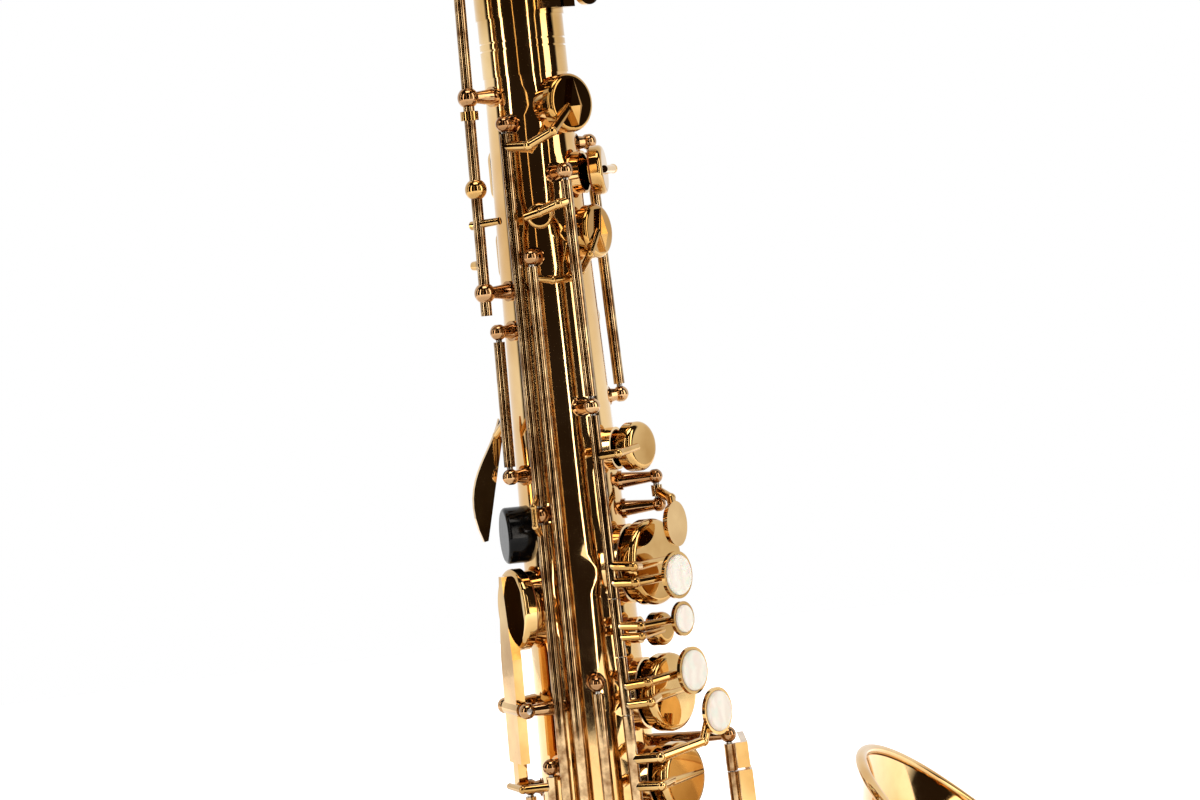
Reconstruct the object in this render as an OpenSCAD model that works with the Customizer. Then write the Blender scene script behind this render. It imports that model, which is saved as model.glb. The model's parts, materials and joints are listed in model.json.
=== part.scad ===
// Curved soprano saxophone: conical body, bow, upturned bell, neck and full key work.
// Millimetres. The body axis is Z, the bell points to +X, the player's right hand side is -Y.
// Places on the body tube are given as (a, h, s): a is the angle round the tube from the front
// towards the player's right, h the height above the tube skin and s the distance up the tube.

/* [Body tube] */
// Length of the conical tube from the bow joint to the neck receiver
tube_len = 266; // [262:1:280]
// Outer radius at the bow joint
tube_r_low = 17.6; // [17.2:0.1:18.4]
// Outer radius at the neck receiver
tube_r_top = 11.2; // [11:0.1:11.4]
// Sheet thickness of tube, bow and bell
wall = 0.8; // [0.6:0.1:1]

/* [Bow and bell] */
// Bend radius of the bow, to its centre line
bow_bend = 24; // [23:0.5:28]
// Length of the bell from the bow joint to the rim
bell_len = 88.6; // [84:0.5:96]
// Outer radius of the bell rim
bell_rim_r = 47; // [44:0.5:50]
// Radius of the rolled rim wire
rim_wire_r = 1.5; // [1.2:0.1:2]
// Radius added by the joint rings
ring_up = 1.5; // [1.2:0.1:2]
// Width of the joint rings
ring_w = 7; // [5:0.5:9]

/* [Neck receiver] */
// Length of the receiver
receiver_len = 28.5; // [26:0.5:32]
// Outer radius of the receiver
receiver_r = 11.6; // [11.4:0.1:12]
// Radius of the socket for the neck tenon
socket_r = 9.0; // [8.6:0.1:9.4]
// Radius of the clamp screw shank
clamp_r = 1.5; // [1.3:0.1:1.7]

/* [Neck] */
// Bend radius of the neck
neck_bend = 34; // [30:1:40]
// Angle through which the neck turns back
neck_turn = 80; // [70:1:85]
// Straight length under the cork
cork_len = 26; // [24:1:30]
// Outer radius of the cork
cork_r = 7.5; // [7.2:0.1:8]

/* [Mouthpiece] */
// Overall length of the mouthpiece
mouth_len = 62; // [58:1:70]
// Outer radius of the barrel
mouth_r = 10.6; // [10.2:0.1:11.2]
// Length of shank that sits on the cork
mouth_grip = 20; // [16:1:22]

/* [Hinges and posts] */
// Radius of the steel hinge rods
rod_r = 0.8; // [0.7:0.05:0.9]
// Radius of the key tubes that turn on the rods
sleeve_r = 1.5; // [1.4:0.05:1.6]
// Radius of the ball at the head of a post
ball_r = 2.2; // [2.1:0.05:2.3]
// Radial play between rod and key tube
play = 0.05; // [0.03:0.01:0.08]
// End gap between a key tube and its neighbour
end_gap = 0.3; // [0.2:0.05:0.4]

/* [Cups and pads] */
// Height of a tone hole rim above the tube skin
hole_h = 1.6; // [1.4:0.1:1.8]
// Gap between a closed pad and its tone hole
seat_gap = 0.15; // [0.1:0.05:0.25]
// Thickness of a pad
pad_t = 1.8; // [1.6:0.1:2]
// Part of the pad that shows below the cup
pad_show = 0.7; // [0.5:0.1:0.9]
// Height of the small cups
cup_h = 3.2; // [3:0.1:3.4]
// Height of the stack and bell cups
big_cup_h = 4.2; // [4:0.1:4.4]

/* [Stack keys] */
// Angle of the stack tone holes from the front
stack_a = 12; // [10:1:13]
// Angle of the stack hinge line
stack_rod_a = 54; // [53:1:56]
// Height of the stack hinge line above the tube
stack_rod_h = 6.5; // [6.4:0.1:6.8]
// Angle by which the stack keys stand open
stack_open = 14; // [10:1:15]
// Radius of the finger pearls
pearl_r = 5.4; // [5:0.1:5.6]
// Radius of the B cup
b_r = 11.5; // [10.5:0.1:11.8]
// Radius of the A cup
a_r = 10.5; // [9.5:0.1:10.8]
// Radius of the G cup
g_r = 9.5; // [8.5:0.1:9.8]
// Radius of the F cup
f_r = 9; // [8:0.1:9.2]
// Radius of the E cup
e_r = 8.5; // [7.5:0.1:8.7]
// Radius of the D cup
d_r = 7.8; // [7:0.1:7.9]

/* [Side and palm keys] */
// Radius of the high E cup
high_e_r = 7.8; // [7:0.1:8]
// Radius of the side C cup
side_c_r = 7.2; // [6.6:0.1:7.4]
// Radius of the side B flat cup
side_b_r = 11; // [10:0.1:11.2]
// Radius of the palm key cups
palm_r = 6; // [5.4:0.1:6.4]
// Angle of the side E hinge line
high_e_rod_a = 106; // [106:1:107]
// Angle of the side C hinge line
side_c_rod_a = 91.5; // [90:0.5:92]
// Angle of the side B flat lever hinge line
lever_rod_a = 119; // [119:1:120]
// Height of the side key hinge lines
side_rod_h = 3.8; // [3.7:0.1:3.9]

/* [Bell keys] */
// Radius of the low B cup
low_b_r = 11; // [10:0.1:11.4]
// Radius of the low B flat cup
low_b_flat_r = 12; // [11:0.1:12.4]
// Radius of the low C cup
low_c_r = 10.5; // [9.5:0.1:10.8]
// Radius of the low C sharp cup
low_c_sharp_r = 9.5; // [8.5:0.1:9.8]
// Radius of the E flat cup
e_flat_r = 9; // [8:0.1:9.2]
// Angle by which the bell keys stand open
bell_open = 12; // [10:1:13]

/* [Holding] */
// Radius of the hole in the strap ring
strap_hole_r = 4.2; // [3.8:0.1:4.4]
// Thickness of the strap ring
strap_t = 2.6; // [2.2:0.1:3]
// Place of the strap ring up the tube
strap_s = 36; // [35:0.5:37]
// Radius of the black thumb rest
rest_r = 7.6; // [7:0.1:7.8]

/* [Hidden] */
$fn = 48;
taper = atan((tube_r_low - tube_r_top) / tube_len);
bore_r = rod_r + play;
bow_turn = 135;
receiver_top = tube_len + receiver_len;
cup_base = hole_h + seat_gap + pad_show;
cup_top = cup_base + cup_h;
big_top = cup_base + big_cup_h;
holder_r = pearl_r + 0.9;
b_s = 134;
vent_s = 165;
vent_r = 6.6;
bis_s = 116;
bis_r = 4.5;
a_s = 99;
g_s = 76;
f_sharp_s = 60;
f_sharp_r = 5.5;
f_s = 44;
e_s = 25.5;
d_s = 8.2;
c_vent_s = 239;
c_vent_a = 6;
c_vent_rod_a = -32;
c_vent_open = 9;
high_e_s = 257.3;
high_e_a = 36;
side_c_s = 223;
side_c_a = 20;
side_b_s = 124.8;
side_b_a = 147;
side_b_pivot_s = 98.6;
side_b_pivot_h = 6.5;
palm_a = -75;
palm_rod_a = -118;
palm_s = [200, 222, 244];
palm_post_s = [188.5, 211, 233, 254.5];
pip_a = 79;
pip_s = 228.5;
pip_r = 3.4;
octave_a = 133;
octave_h = 8;
thumb_key_h = 4.8;
rest_a = 157;
blade_a = 152;
rest_s = 144.4;
g_sharp_a = 150;
g_sharp_s = 62;
g_sharp_r = 7;
g_sharp_rod_a = 184;
front_f_a = -5;
front_f_h = 9.5;
table_a = -12;
table_h = 20;
table_s = [44, 54.4, 64.3, 74.2, 84];
f_sharp_rod_a = 73;
f_sharp_rod_h = 4;
e_flat_rod = [-9, -20.8];
e_flat_at = [bow_bend * (1 - cos(40)), -bow_bend * sin(40)];
low_c_rod = [43, -24.5];
low_c_at = [bow_bend * (1 - cos(100)), -bow_bend * sin(100)];
bell_rod = [16.5, -25];
low_b_s = 15;
low_b_flat_s = 41;
bell_post_s = [1.5, 28, 54.5];
low_c_sharp_s = 14.5;
low_c_sharp_rod = [-15, 22.5];
low_b_top = 20.8;
low_b_flat_top = 25.6;
low_c_sharp_top = 20.4;
strap_h = 7.2;
reed_x = 6;

// World place of a point at angle a, height h and distance s up the tube, moved y sideways
function tube_point(a, h, s, y = 0) =
    let (r = tube_r_low + h * cos(taper) - s * sin(taper))
    [r * cos(a) + y * sin(a), -r * sin(a) + y * cos(a), h * sin(taper) + s * cos(taper)];

strap_at = tube_point(180, strap_h, strap_s);

// Outer radius of the bell at distance s from the bow
function bell_r(s) =
    let (u = s / bell_len)
    tube_r_low + 4 * u + (bell_rim_r - rim_wire_r - tube_r_low - 4) * pow(u, 3.2);

// Straight round bar between two points
module bar(p, q, r1, r2) {
    v = q - p;
    len = norm(v);
    translate(p)
        rotate([0, acos(v[2] / len), atan2(v[1], v[0])])
            cylinder(h = len, r1 = r1, r2 = r2);
}

// Turn that puts the seam of a bend's ball on the outside of the bend
function elbow_turn(p, q, r) =
    let (v = (q - p) / norm(q - p) + (q - r) / norm(q - r))
    atan2(v[1], v[0]);

// Bar that runs through a list of points with a ball at each bend
module path_bar(points, r1, r2) {
    n = len(points) - 1;
    for (i = [0 : n - 1]) {
        ra = r1 + (r2 - r1) * i / n;
        rb = r1 + (r2 - r1) * (i + 1) / n;
        bar(points[i], points[i + 1], ra, rb);
        if (i < n - 1)
            translate(points[i + 1])
                rotate([0, 0, elbow_turn(points[i], points[i + 1], points[i + 2])])
                    sphere(rb + 0.15);
    }
}

module at_tube(a, s = 0, h = 0)
    rotate([0, 0, -a])
        translate([tube_r_low, 0, 0])
            rotate([0, -taper, 0])
                translate([h, 0, s])
                    children();

// Turn a finished key about its hinge line on the tube
module swing(a, h, angle)
    at_tube(a, 0, h)
        rotate([0, 0, angle])
            translate([-h, 0, 0])
                rotate([0, taper, 0])
                    translate([-tube_r_low, 0, 0])
                        rotate([0, 0, a])
                            children();

// Turn a finished key about a hinge line parallel to Z
module swing_z(at, angle)
    translate([at[0], at[1], 0])
        rotate([0, 0, angle])
            translate([-at[0], -at[1], 0])
                children();

module at_bell(s = 0)
    translate([bow_bend * (1 - cos(bow_turn)), 0, -bow_bend * sin(bow_turn)])
        rotate([0, 180 - bow_turn, 0])
            translate([0, 0, s])
                children();

module tube_skin()
    cylinder(h = tube_len, r1 = tube_r_low, r2 = tube_r_top);

module bow_skin()
    translate([bow_bend, 0, 0])
        rotate([90, 0, 0])
            rotate([0, 0, 180])
                rotate_extrude(angle = bow_turn)
                    translate([bow_bend, 0])
                        circle(tube_r_low);

module bell_skin()
    at_bell()
        rotate_extrude()
            polygon(concat([[0, 0]], [for (i = [0 : 20]) [bell_r(bell_len * i / 20), bell_len * i / 20]],
                [[0, bell_len]]));

// Key cup that opens towards -Z, its rim at z = 0
module cup_shape(r, h) {
    edge = h * 0.4;
    difference() {
        rotate_extrude() {
            square([r - edge, h]);
            square([r, h - edge]);
            translate([r - edge, h - edge]) circle(edge);
        }
        translate([0, 0, -1]) cylinder(r = r - 0.7, h = 1 + pad_t - pad_show + 0.05);
    }
}

// Pad below a cup whose rim is at z = 0
module pad_shape(r)
    translate([0, 0, -pad_show]) cylinder(r = r - 0.8, h = pad_t);

module cup(a, s, r, h, base = cup_base)
    at_tube(a, s, base) rotate([0, 90, 0]) cup_shape(r, h);

module pad(a, s, r, base = cup_base)
    at_tube(a, s, base) rotate([0, 90, 0]) pad_shape(r);

module key_tube(a, h, s0, s1)
    at_tube(a, s0, h) cylinder(r = sleeve_r, h = s1 - s0);

module key_bore(a, h, s0, s1)
    at_tube(a, s0 - 1, h) cylinder(r = bore_r, h = s1 - s0 + 2);

// Touch plate with round ends, long way up the tube
module paddle(len, w, t) {
    for (z = [w / 2, len - w / 2]) translate([0, 0, z]) rotate([0, 90, 0]) cylinder(r = w / 2, h = t);
    translate([0, -w / 2, w / 2]) cube([t, w, len - w]);
}

// Chimney of a tone hole and its bore
module chimney(a, s, r, top = hole_h)
    at_tube(a, s, -3) rotate([0, 90, 0]) cylinder(r = r - 0.9, h = 3 + top);

module chimney_bore(a, s, r)
    at_tube(a, s, -6) rotate([0, 90, 0]) cylinder(r = r - 1.6, h = 12);

tone_holes = [
    [stack_a, b_s, b_r],
    [stack_a, vent_s, vent_r],
    [stack_a, bis_s, bis_r],
    [stack_a, a_s, a_r],
    [stack_a, g_s, g_r],
    [stack_a, f_sharp_s, f_sharp_r],
    [stack_a, f_s, f_r],
    [stack_a, e_s, e_r],
    [stack_a, d_s, d_r],
    [c_vent_a, c_vent_s, vent_r],
    [high_e_a, high_e_s, high_e_r],
    [side_c_a, side_c_s, side_c_r],
    [side_b_a, side_b_s, side_b_r],
    [palm_a, palm_s[0], palm_r],
    [palm_a, palm_s[1], palm_r],
    [palm_a, palm_s[2], palm_r],
    [g_sharp_a, g_sharp_s, g_sharp_r],
    [pip_a, pip_s, pip_r]
];

module body_tube()
    color("goldenrod")
        difference() {
            union() {
                tube_skin();
                for (t = tone_holes) chimney(t[0], t[1], t[2]);
            }
            translate([0, 0, -0.01])
                cylinder(h = tube_len + 0.02, r1 = tube_r_low - wall, r2 = tube_r_top - wall);
            for (t = tone_holes) chimney_bore(t[0], t[1], t[2]);
        }

module bow()
    color("goldenrod")
        difference() {
            union() {
                bow_skin();
                translate([e_flat_at[0], -tube_r_low + 8, e_flat_at[1]])
                    rotate([90, 0, 0]) cylinder(r = e_flat_r - 0.9, h = 8 + hole_h);
                translate([low_c_at[0], -tube_r_low + 8, low_c_at[1]])
                    rotate([90, 0, 0]) cylinder(r = low_c_r - 0.9, h = 8 + hole_h);
            }
            translate([bow_bend, 0, 0])
                rotate([90, 0, 0])
                    rotate([0, 0, 179])
                        rotate_extrude(angle = bow_turn + 2)
                            translate([bow_bend, 0]) circle(tube_r_low - wall);
            translate([e_flat_at[0], 0, e_flat_at[1]])
                rotate([90, 0, 0]) cylinder(r = e_flat_r - 1.6, h = 30);
            translate([low_c_at[0], 0, low_c_at[1]])
                rotate([90, 0, 0]) cylinder(r = low_c_r - 1.6, h = 30);
        }

module bell()
    color("goldenrod")
        difference() {
            union() {
                at_bell()
                    rotate_extrude()
                        polygon(concat(
                            [for (i = [0 : 20]) [bell_r(bell_len * i / 20), bell_len * i / 20]],
                            [for (i = [20 : -1 : 0]) [bell_r(bell_len * i / 20) - wall, bell_len * i / 20]]));
                at_bell(bell_len)
                    rotate_extrude()
                        translate([bell_rim_r - rim_wire_r, 0]) circle(rim_wire_r);
                difference() {
                    union() {
                        at_bell(low_b_s) rotate([90, 0, 0]) cylinder(r = low_b_r - 0.9, h = low_b_top);
                        at_bell(low_b_flat_s)
                            rotate([90, 0, 0]) cylinder(r = low_b_flat_r - 0.9, h = low_b_flat_top);
                        at_bell(low_c_sharp_s)
                            rotate([-90, 0, 0]) cylinder(r = low_c_sharp_r - 0.9, h = low_c_sharp_top);
                    }
                    bell_core();
                }
            }
            at_bell(low_b_s) rotate([90, 0, 0]) cylinder(r = low_b_r - 1.6, h = 40);
            at_bell(low_b_flat_s) rotate([90, 0, 0]) cylinder(r = low_b_flat_r - 1.6, h = 40);
            at_bell(low_c_sharp_s) rotate([-90, 0, 0]) cylinder(r = low_c_sharp_r - 1.6, h = 40);
        }

// Air inside the bell
module bell_core()
    at_bell()
        rotate_extrude()
            polygon(concat([[0, -1], [tube_r_low - wall, -1]],
                [for (i = [0 : 20]) [bell_r(bell_len * i / 20) - wall / 2, bell_len * i / 20]],
                [[0, bell_len]]));

// Rings soldered over the two joints of the bow
module bow_rings()
    color("gold") {
        difference() {
            translate([0, 0, 1.1 - ring_w]) cylinder(r = tube_r_low + ring_up, h = ring_w);
            cylinder(r = tube_r_low + 0.03, h = 10);
            bow_clear();
        }
        difference() {
            at_bell(-ring_w / 2) cylinder(r = tube_r_low + ring_up, h = ring_w);
            bow_clear();
            bell_clear();
        }
    }

module bow_clear()
    translate([bow_bend, 0, 0])
        rotate([90, 0, 0])
            rotate([0, 0, 180])
                rotate_extrude(angle = bow_turn)
                    translate([bow_bend, 0]) circle(tube_r_low + 0.03);

module bell_clear()
    at_bell()
        cylinder(r1 = bell_r(0) + 0.03, r2 = bell_r(ring_w) + 0.03, h = ring_w);

module neck_receiver()
    color("gold")
        difference() {
            union() {
                translate([0, 0, tube_len]) cylinder(r = receiver_r - 0.15, h = receiver_len);
                translate([0, 0, receiver_top - 13]) cylinder(r = receiver_r + 0.2, h = 13);
                rotate([0, 0, -35])
                    translate([receiver_r - 3, -4.6, receiver_top - 12]) cube([8.2, 9.2, 9]);
            }
            translate([0, 0, tube_len - 1]) cylinder(r = socket_r, h = receiver_len + 2);
            for (z = [7, 9]) receiver_groove(z);
            rotate([0, 0, -35]) translate([0, -0.6, receiver_top - 18]) cube([30, 1.2, 20]);
            rotate([0, 0, -35])
                translate([receiver_r + 2.4, 10, receiver_top - 7.5])
                    rotate([90, 0, 0]) cylinder(r = clamp_r + play, h = 20);
        }

module receiver_groove(z)
    translate([0, 0, tube_len + z])
        difference() {
            cylinder(r = receiver_r + 1, h = 0.5);
            translate([0, 0, -1]) cylinder(r = receiver_r - 0.6, h = 3);
        }

// Clamp screw with a flat thumb head
module neck_screw()
    color("goldenrod")
        rotate([0, 0, -35])
            translate([receiver_r + 2.4, 0, receiver_top - 7.5]) {
                translate([0, 9.6, 0]) rotate([90, 0, 0]) cylinder(r = clamp_r, h = 15.4);
                difference() {
                    translate([-0.9, 12, 0]) rotate([0, 90, 0]) cylinder(r = 4, h = 1.8);
                    translate([-2, 12.6, 0]) rotate([0, 90, 0]) cylinder(r = 1.2, h = 4);
                }
                translate([0, 6.4, 0]) rotate([90, 0, 0]) cylinder(r = 2.4, h = 1.6);
            }

// Post with ball head on the tube
module post(a, s, h, hole = bore_r, ball = ball_r, foot = 2.7)
    difference() {
        union() {
            at_tube(a, s, -1.2) rotate([0, 90, 0]) cylinder(r = foot, h = 1.9);
            at_tube(a, s, 0) rotate([0, 90, 0]) cylinder(r1 = foot - 0.5, r2 = 1.3, h = h);
            at_tube(a, s, h) sphere(ball);
        }
        at_tube(a, s - 5, h) cylinder(r = hole, h = 10);
        tube_skin();
        translate([0, 0, 1 - ring_w]) cylinder(r = tube_r_low + ring_up + 0.1, h = ring_w + 0.2);
    }

module key_posts()
    color("gold") {
        for (s = [3, 59, 177.3, 239.6]) post(stack_rod_a, s, stack_rod_h);
        for (s = [178.6, 247]) post(c_vent_rod_a, s, 4.2);
        for (s = [47, 253.4]) post(high_e_rod_a, s, side_rod_h);
        post(high_e_rod_a, 150, side_rod_h, bore_r, ball_r, 2.1);
        for (s = [35, 218]) post(side_c_rod_a, s, side_rod_h);
        for (s = [18, 83]) post(lever_rod_a, s, side_rod_h);
        for (s = [47, 104.5]) post(f_sharp_rod_a, s, f_sharp_rod_h);
        for (s = palm_post_s) post(palm_rod_a, s, 4.2);
        for (s = [160.5, 199]) post(octave_a, s, thumb_key_h);
        for (s = [209.6, 261.2]) post(octave_a, s, octave_h, sleeve_r + play, 2.8);
        for (s = [49, 75]) post(g_sharp_rod_a, s, 4);
        for (s = [148.4, 156]) post(front_f_a, s, front_f_h, bore_r, 2);
        for (y = [-8.2, 8.2]) side_b_post(y);
        for (s = [table_s[0], table_s[4]]) table_post(s);
        e_flat_posts();
        low_c_posts();
        bell_posts();
        low_c_sharp_posts();
    }

module side_b_post(y)
    difference() {
        union() {
            at_tube(side_b_a, side_b_pivot_s, -4)
                translate([0, y, 0]) rotate([0, 90, 0]) cylinder(r1 = 2.4, r2 = 1.3, h = 4 + side_b_pivot_h);
            at_tube(side_b_a, side_b_pivot_s, side_b_pivot_h) translate([0, y, 0]) sphere(ball_r);
        }
        at_tube(side_b_a, side_b_pivot_s, side_b_pivot_h)
            translate([0, y + 5, 0]) rotate([90, 0, 0]) cylinder(r = bore_r, h = 10);
        tube_skin();
    }

module table_post(s)
    difference() {
        union() {
            bar(tube_point(-38, -1, s), tube_point(table_a, table_h, s), 2.2, 1.3);
            translate(tube_point(table_a, table_h, s)) sphere(ball_r);
        }
        at_tube(table_a, s - 5, table_h) cylinder(r = bore_r, h = 10);
        tube_skin();
    }

module e_flat_posts()
    difference() {
        union() {
            for (z = [10.5, -17])
                translate([e_flat_rod[0], e_flat_rod[1], z]) sphere(ball_r);
            bar([-3, -7, 10.5], [e_flat_rod[0], e_flat_rod[1], 10.5], 2.2, 1.3);
            bar([3, -7, -17], [e_flat_rod[0], e_flat_rod[1], -17], 2.2, 1.3);
        }
        translate([e_flat_rod[0], e_flat_rod[1], -25]) cylinder(r = bore_r, h = 45);
        tube_skin();
        bow_skin();
    }

module low_c_posts()
    difference() {
        union() {
            for (z = [-37, -18.5])
                translate([low_c_rod[0], low_c_rod[1], z]) sphere(ball_r);
            bar([36, -9, -28], [low_c_rod[0], low_c_rod[1], -37], 2.4, 1.3);
            bar([low_c_rod[0], -8, -18.5], [low_c_rod[0], low_c_rod[1], -18.5], 2.4, 1.3);
        }
        translate([low_c_rod[0], low_c_rod[1], -45]) cylinder(r = bore_r, h = 45);
        bow_skin();
        bell_skin();
        ring_space();
    }

module ring_space()
    at_bell(-ring_w / 2 - 0.1) cylinder(r = tube_r_low + ring_up + 0.1, h = ring_w + 0.2);

module bell_posts()
    difference() {
        union() {
            for (s = bell_post_s) {
                at_bell(s) translate([bell_rod[0], bell_rod[1], 0]) sphere(ball_r);
                at_bell(s) bar([6, -10, 0], [bell_rod[0], bell_rod[1], 0], 2.4, 1.3);
            }
        }
        at_bell(-10) translate([bell_rod[0], bell_rod[1], 0]) cylinder(r = bore_r, h = 80);
        bell_skin();
        ring_space();
    }

module low_c_sharp_posts()
    difference() {
        union() {
            for (s = [1.5, 28]) {
                at_bell(s) translate([low_c_sharp_rod[0], low_c_sharp_rod[1], 0]) sphere(ball_r);
                at_bell(s) bar([-6, 9, 0], [low_c_sharp_rod[0], low_c_sharp_rod[1], 0], 2.4, 1.3);
            }
        }
        at_bell(-10) translate([low_c_sharp_rod[0], low_c_sharp_rod[1], 0]) cylinder(r = bore_r, h = 60);
        bell_skin();
        ring_space();
    }

module rod(a, h, s0, s1)
    at_tube(a, s0, h) cylinder(r = rod_r, h = s1 - s0);

// Steel rods fixed in the posts
module hinge_rods()
    color("silver") {
        rod(stack_rod_a, stack_rod_h, 1.4, 241.2);
        rod(c_vent_rod_a, 4.2, 177, 248.6);
        rod(high_e_rod_a, side_rod_h, 45.4, 255);
        rod(side_c_rod_a, side_rod_h, 33.4, 219.6);
        rod(lever_rod_a, side_rod_h, 16.4, 84.6);
        rod(f_sharp_rod_a, f_sharp_rod_h, 45.4, 106);
        rod(palm_rod_a, 4.2, palm_post_s[0] - 1.6, palm_post_s[3] + 1.6);
        rod(octave_a, thumb_key_h, 159, 200.6);
        rod(g_sharp_rod_a, 4, 47.4, 76.6);
        rod(front_f_a, front_f_h, 147, 157.4);
        rod(table_a, table_h, table_s[0] - 1.6, table_s[4] + 1.6);
        at_tube(side_b_a, side_b_pivot_s, side_b_pivot_h)
            translate([0, 9.8, 0]) rotate([90, 0, 0]) cylinder(r = rod_r, h = 19.6);
        translate([e_flat_rod[0], e_flat_rod[1], -18.6]) cylinder(r = rod_r, h = 30.7);
        translate([low_c_rod[0], low_c_rod[1], -38.6]) cylinder(r = rod_r, h = 21.7);
        at_bell(bell_post_s[0] - 1.6)
            translate([bell_rod[0], bell_rod[1], 0])
                cylinder(r = rod_r, h = bell_post_s[2] - bell_post_s[0] + 3.2);
        at_bell(0)
            translate([low_c_sharp_rod[0], low_c_sharp_rod[1], 0]) cylinder(r = rod_r, h = 29.6);
    }

module thumb_rest()
    color("black")
        difference() {
            at_tube(rest_a, rest_s, -4) rotate([0, 90, 0])
                rotate_extrude() {
                    square([rest_r - 1, 9]);
                    square([rest_r, 8]);
                    translate([rest_r - 1, 8]) circle(1);
                }
            tube_skin();
        }

// Right hand thumb hook on a soldered plate
module thumb_hook()
    color("gold")
        difference() {
            union() {
                at_tube(180, 4, -1) translate([0, -5, 0]) cube([2.6, 10, 16]);
                at_tube(180, 8, 1) translate([0, -4, 0]) cube([13, 8, 2.4]);
                at_tube(180, 8, 12) rotate([90, 0, 0]) translate([0, -4.6, -4]) difference() {
                    cylinder(r = 7, h = 8);
                    translate([0, 0, -1]) cylinder(r = 4.6, h = 10);
                    translate([-20, -10, -1]) cube([20, 20, 10]);
                }
            }
            tube_skin();
        }

module strap_ring()
    color("gold")
        difference() {
            union() {
                at_tube(180, strap_s, strap_h)
                    translate([0, strap_t / 2, 0])
                        rotate([90, 0, 0]) cylinder(r = strap_hole_r + 2.2, h = strap_t);
                at_tube(180, strap_s - 5, -1) translate([0, -4, 0]) cube([2.2, 8, 10]);
            }
            at_tube(180, strap_s, strap_h)
                translate([0, 5, 0]) rotate([90, 0, 0]) cylinder(r = strap_hole_r, h = 10);
            tube_skin();
        }

// Stay between body and bell
module bell_brace()
    color("gold") {
        difference() {
            union() {
                bar([10, 9, 34], [26.4, 15, 34], 3, 1.6);
                bar([45.6, 15, 34], [66, 9, 34], 1.6, 3);
                translate([36, 15, 34]) rotate([90, 0, 0]) rotate_extrude() translate([10, 0]) circle(2);
            }
            tube_skin();
            bell_skin();
        }
    }

// Arm from the stack hinge line to a place (y, h) in the frame of the stack holes
module stack_arm(s0, s1, y, h, r = 1.2)
    path_bar([
        tube_point(stack_rod_a, stack_rod_h, s0),
        tube_point(stack_a, 7.8, (s0 + s1) / 2, -12.9),
        tube_point(stack_a, h, s1, y)
    ], r + 0.2, r);

// Rib that lies over the top of a cup
module stack_rib(s, r)
    bar(tube_point(stack_a, big_top - 0.2, s, -r + 1),
        tube_point(stack_a, big_top - 0.4, s, r - 1.6), 1.3, 0.8);

module pearl_holder(s, y, h, r)
    at_tube(stack_a, s, h - 2.6) translate([0, y, 0]) rotate([0, 90, 0])
        difference() {
            rotate_extrude() {
                polygon([[0, 0], [r - 1.6, 0], [r, 1.2], [r, 2.2], [0, 2.2]]);
            }
            translate([0, 0, 1]) cylinder(r = r - 0.8, h = 3);
        }

module pearl_disc(s, y, h, r)
    at_tube(stack_a, s, h - 1.6) translate([0, y, 0]) rotate([0, 90, 0])
        rotate_extrude() {
            square([r - 1.7, 2]);
            square([r - 0.9, 1.2]);
            translate([r - 1.7, 1.2]) circle(0.8);
        }

module opened() swing(stack_rod_a, stack_rod_h, -stack_open) children();

module b_key()
    color("goldenrod") opened() {
        difference() {
            union() {
                key_tube(stack_rod_a, stack_rod_h, 126.5, 174.8);
                cup(stack_a, b_s, b_r, big_cup_h);
                cup(stack_a, vent_s, vent_r, big_cup_h);
                stack_arm(135, b_s, -9, big_top);
                stack_rib(b_s, b_r);
                stack_arm(164, vent_s, -3, big_top, 1);
                stack_arm(130.5, 130.1, -1.5, 10.4);
                pearl_holder(130.1, 0, 13, holder_r);
            }
            key_bore(stack_rod_a, stack_rod_h, 126.5, 174.8);
        }
        pad(stack_a, vent_s, vent_r);
        pad(stack_a, b_s, b_r);
    }

module b_pearl() color("ivory") opened() pearl_disc(130.1, 0, 13, holder_r);

module bis_key()
    color("goldenrod") opened() {
        difference() {
            union() {
                key_tube(stack_rod_a, stack_rod_h, 111, 126.5 - end_gap);
                cup(stack_a, bis_s, bis_r, big_cup_h);
                stack_arm(116, bis_s, -2, big_top, 0.9);
                stack_arm(119, 118.4, -1, 10.6, 1);
                pearl_holder(118.4, 0, 13, 4.6);
            }
            key_bore(stack_rod_a, stack_rod_h, 111, 126.5);
        }
        pad(stack_a, bis_s, bis_r);
    }

module bis_pearl() color("ivory") opened() pearl_disc(118.4, 0, 13, 4.6);

module a_key()
    color("goldenrod") opened() {
        difference() {
            union() {
                key_tube(stack_rod_a, stack_rod_h, 95.5, 111 - end_gap);
                cup(stack_a, a_s, a_r, big_cup_h);
                stack_arm(98, a_s, -8, big_top);
                stack_rib(a_s - 0.15, a_r);
                stack_arm(103, 104.5, -1, 11.4);
                pearl_holder(104.5, 0, 14, holder_r);
            }
            key_bore(stack_rod_a, stack_rod_h, 95.5, 111);
        }
        pad(stack_a, a_s, a_r);
    }

module a_pearl() color("ivory") opened() pearl_disc(104.5, 0, 14, holder_r);

module g_key()
    color("goldenrod") opened() {
        difference() {
            union() {
                key_tube(stack_rod_a, stack_rod_h, 61.8, 95.5 - end_gap);
                cup(stack_a, g_s, g_r, big_cup_h);
                stack_arm(76.3, g_s + 0.2, -5.2, big_top - 0.5);
                stack_rib(g_s, g_r);
                path_bar([
                    tube_point(stack_rod_a, stack_rod_h, 83.6),
                    tube_point(stack_a, 8.2, 83.7, -12.4),
                    tube_point(stack_a, 12.6, 85.2, 1.6),
                    tube_point(stack_a, 13.3, 92.1, 5)
                ], 1.4, 1.2);
                pearl_holder(92.5, 6, 16, holder_r);
            }
            key_bore(stack_rod_a, stack_rod_h, 61.8, 95.5);
        }
        pad(stack_a, g_s, g_r);
    }

module g_pearl() color("ivory") opened() pearl_disc(92.5, 6, 16, holder_r);

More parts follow.
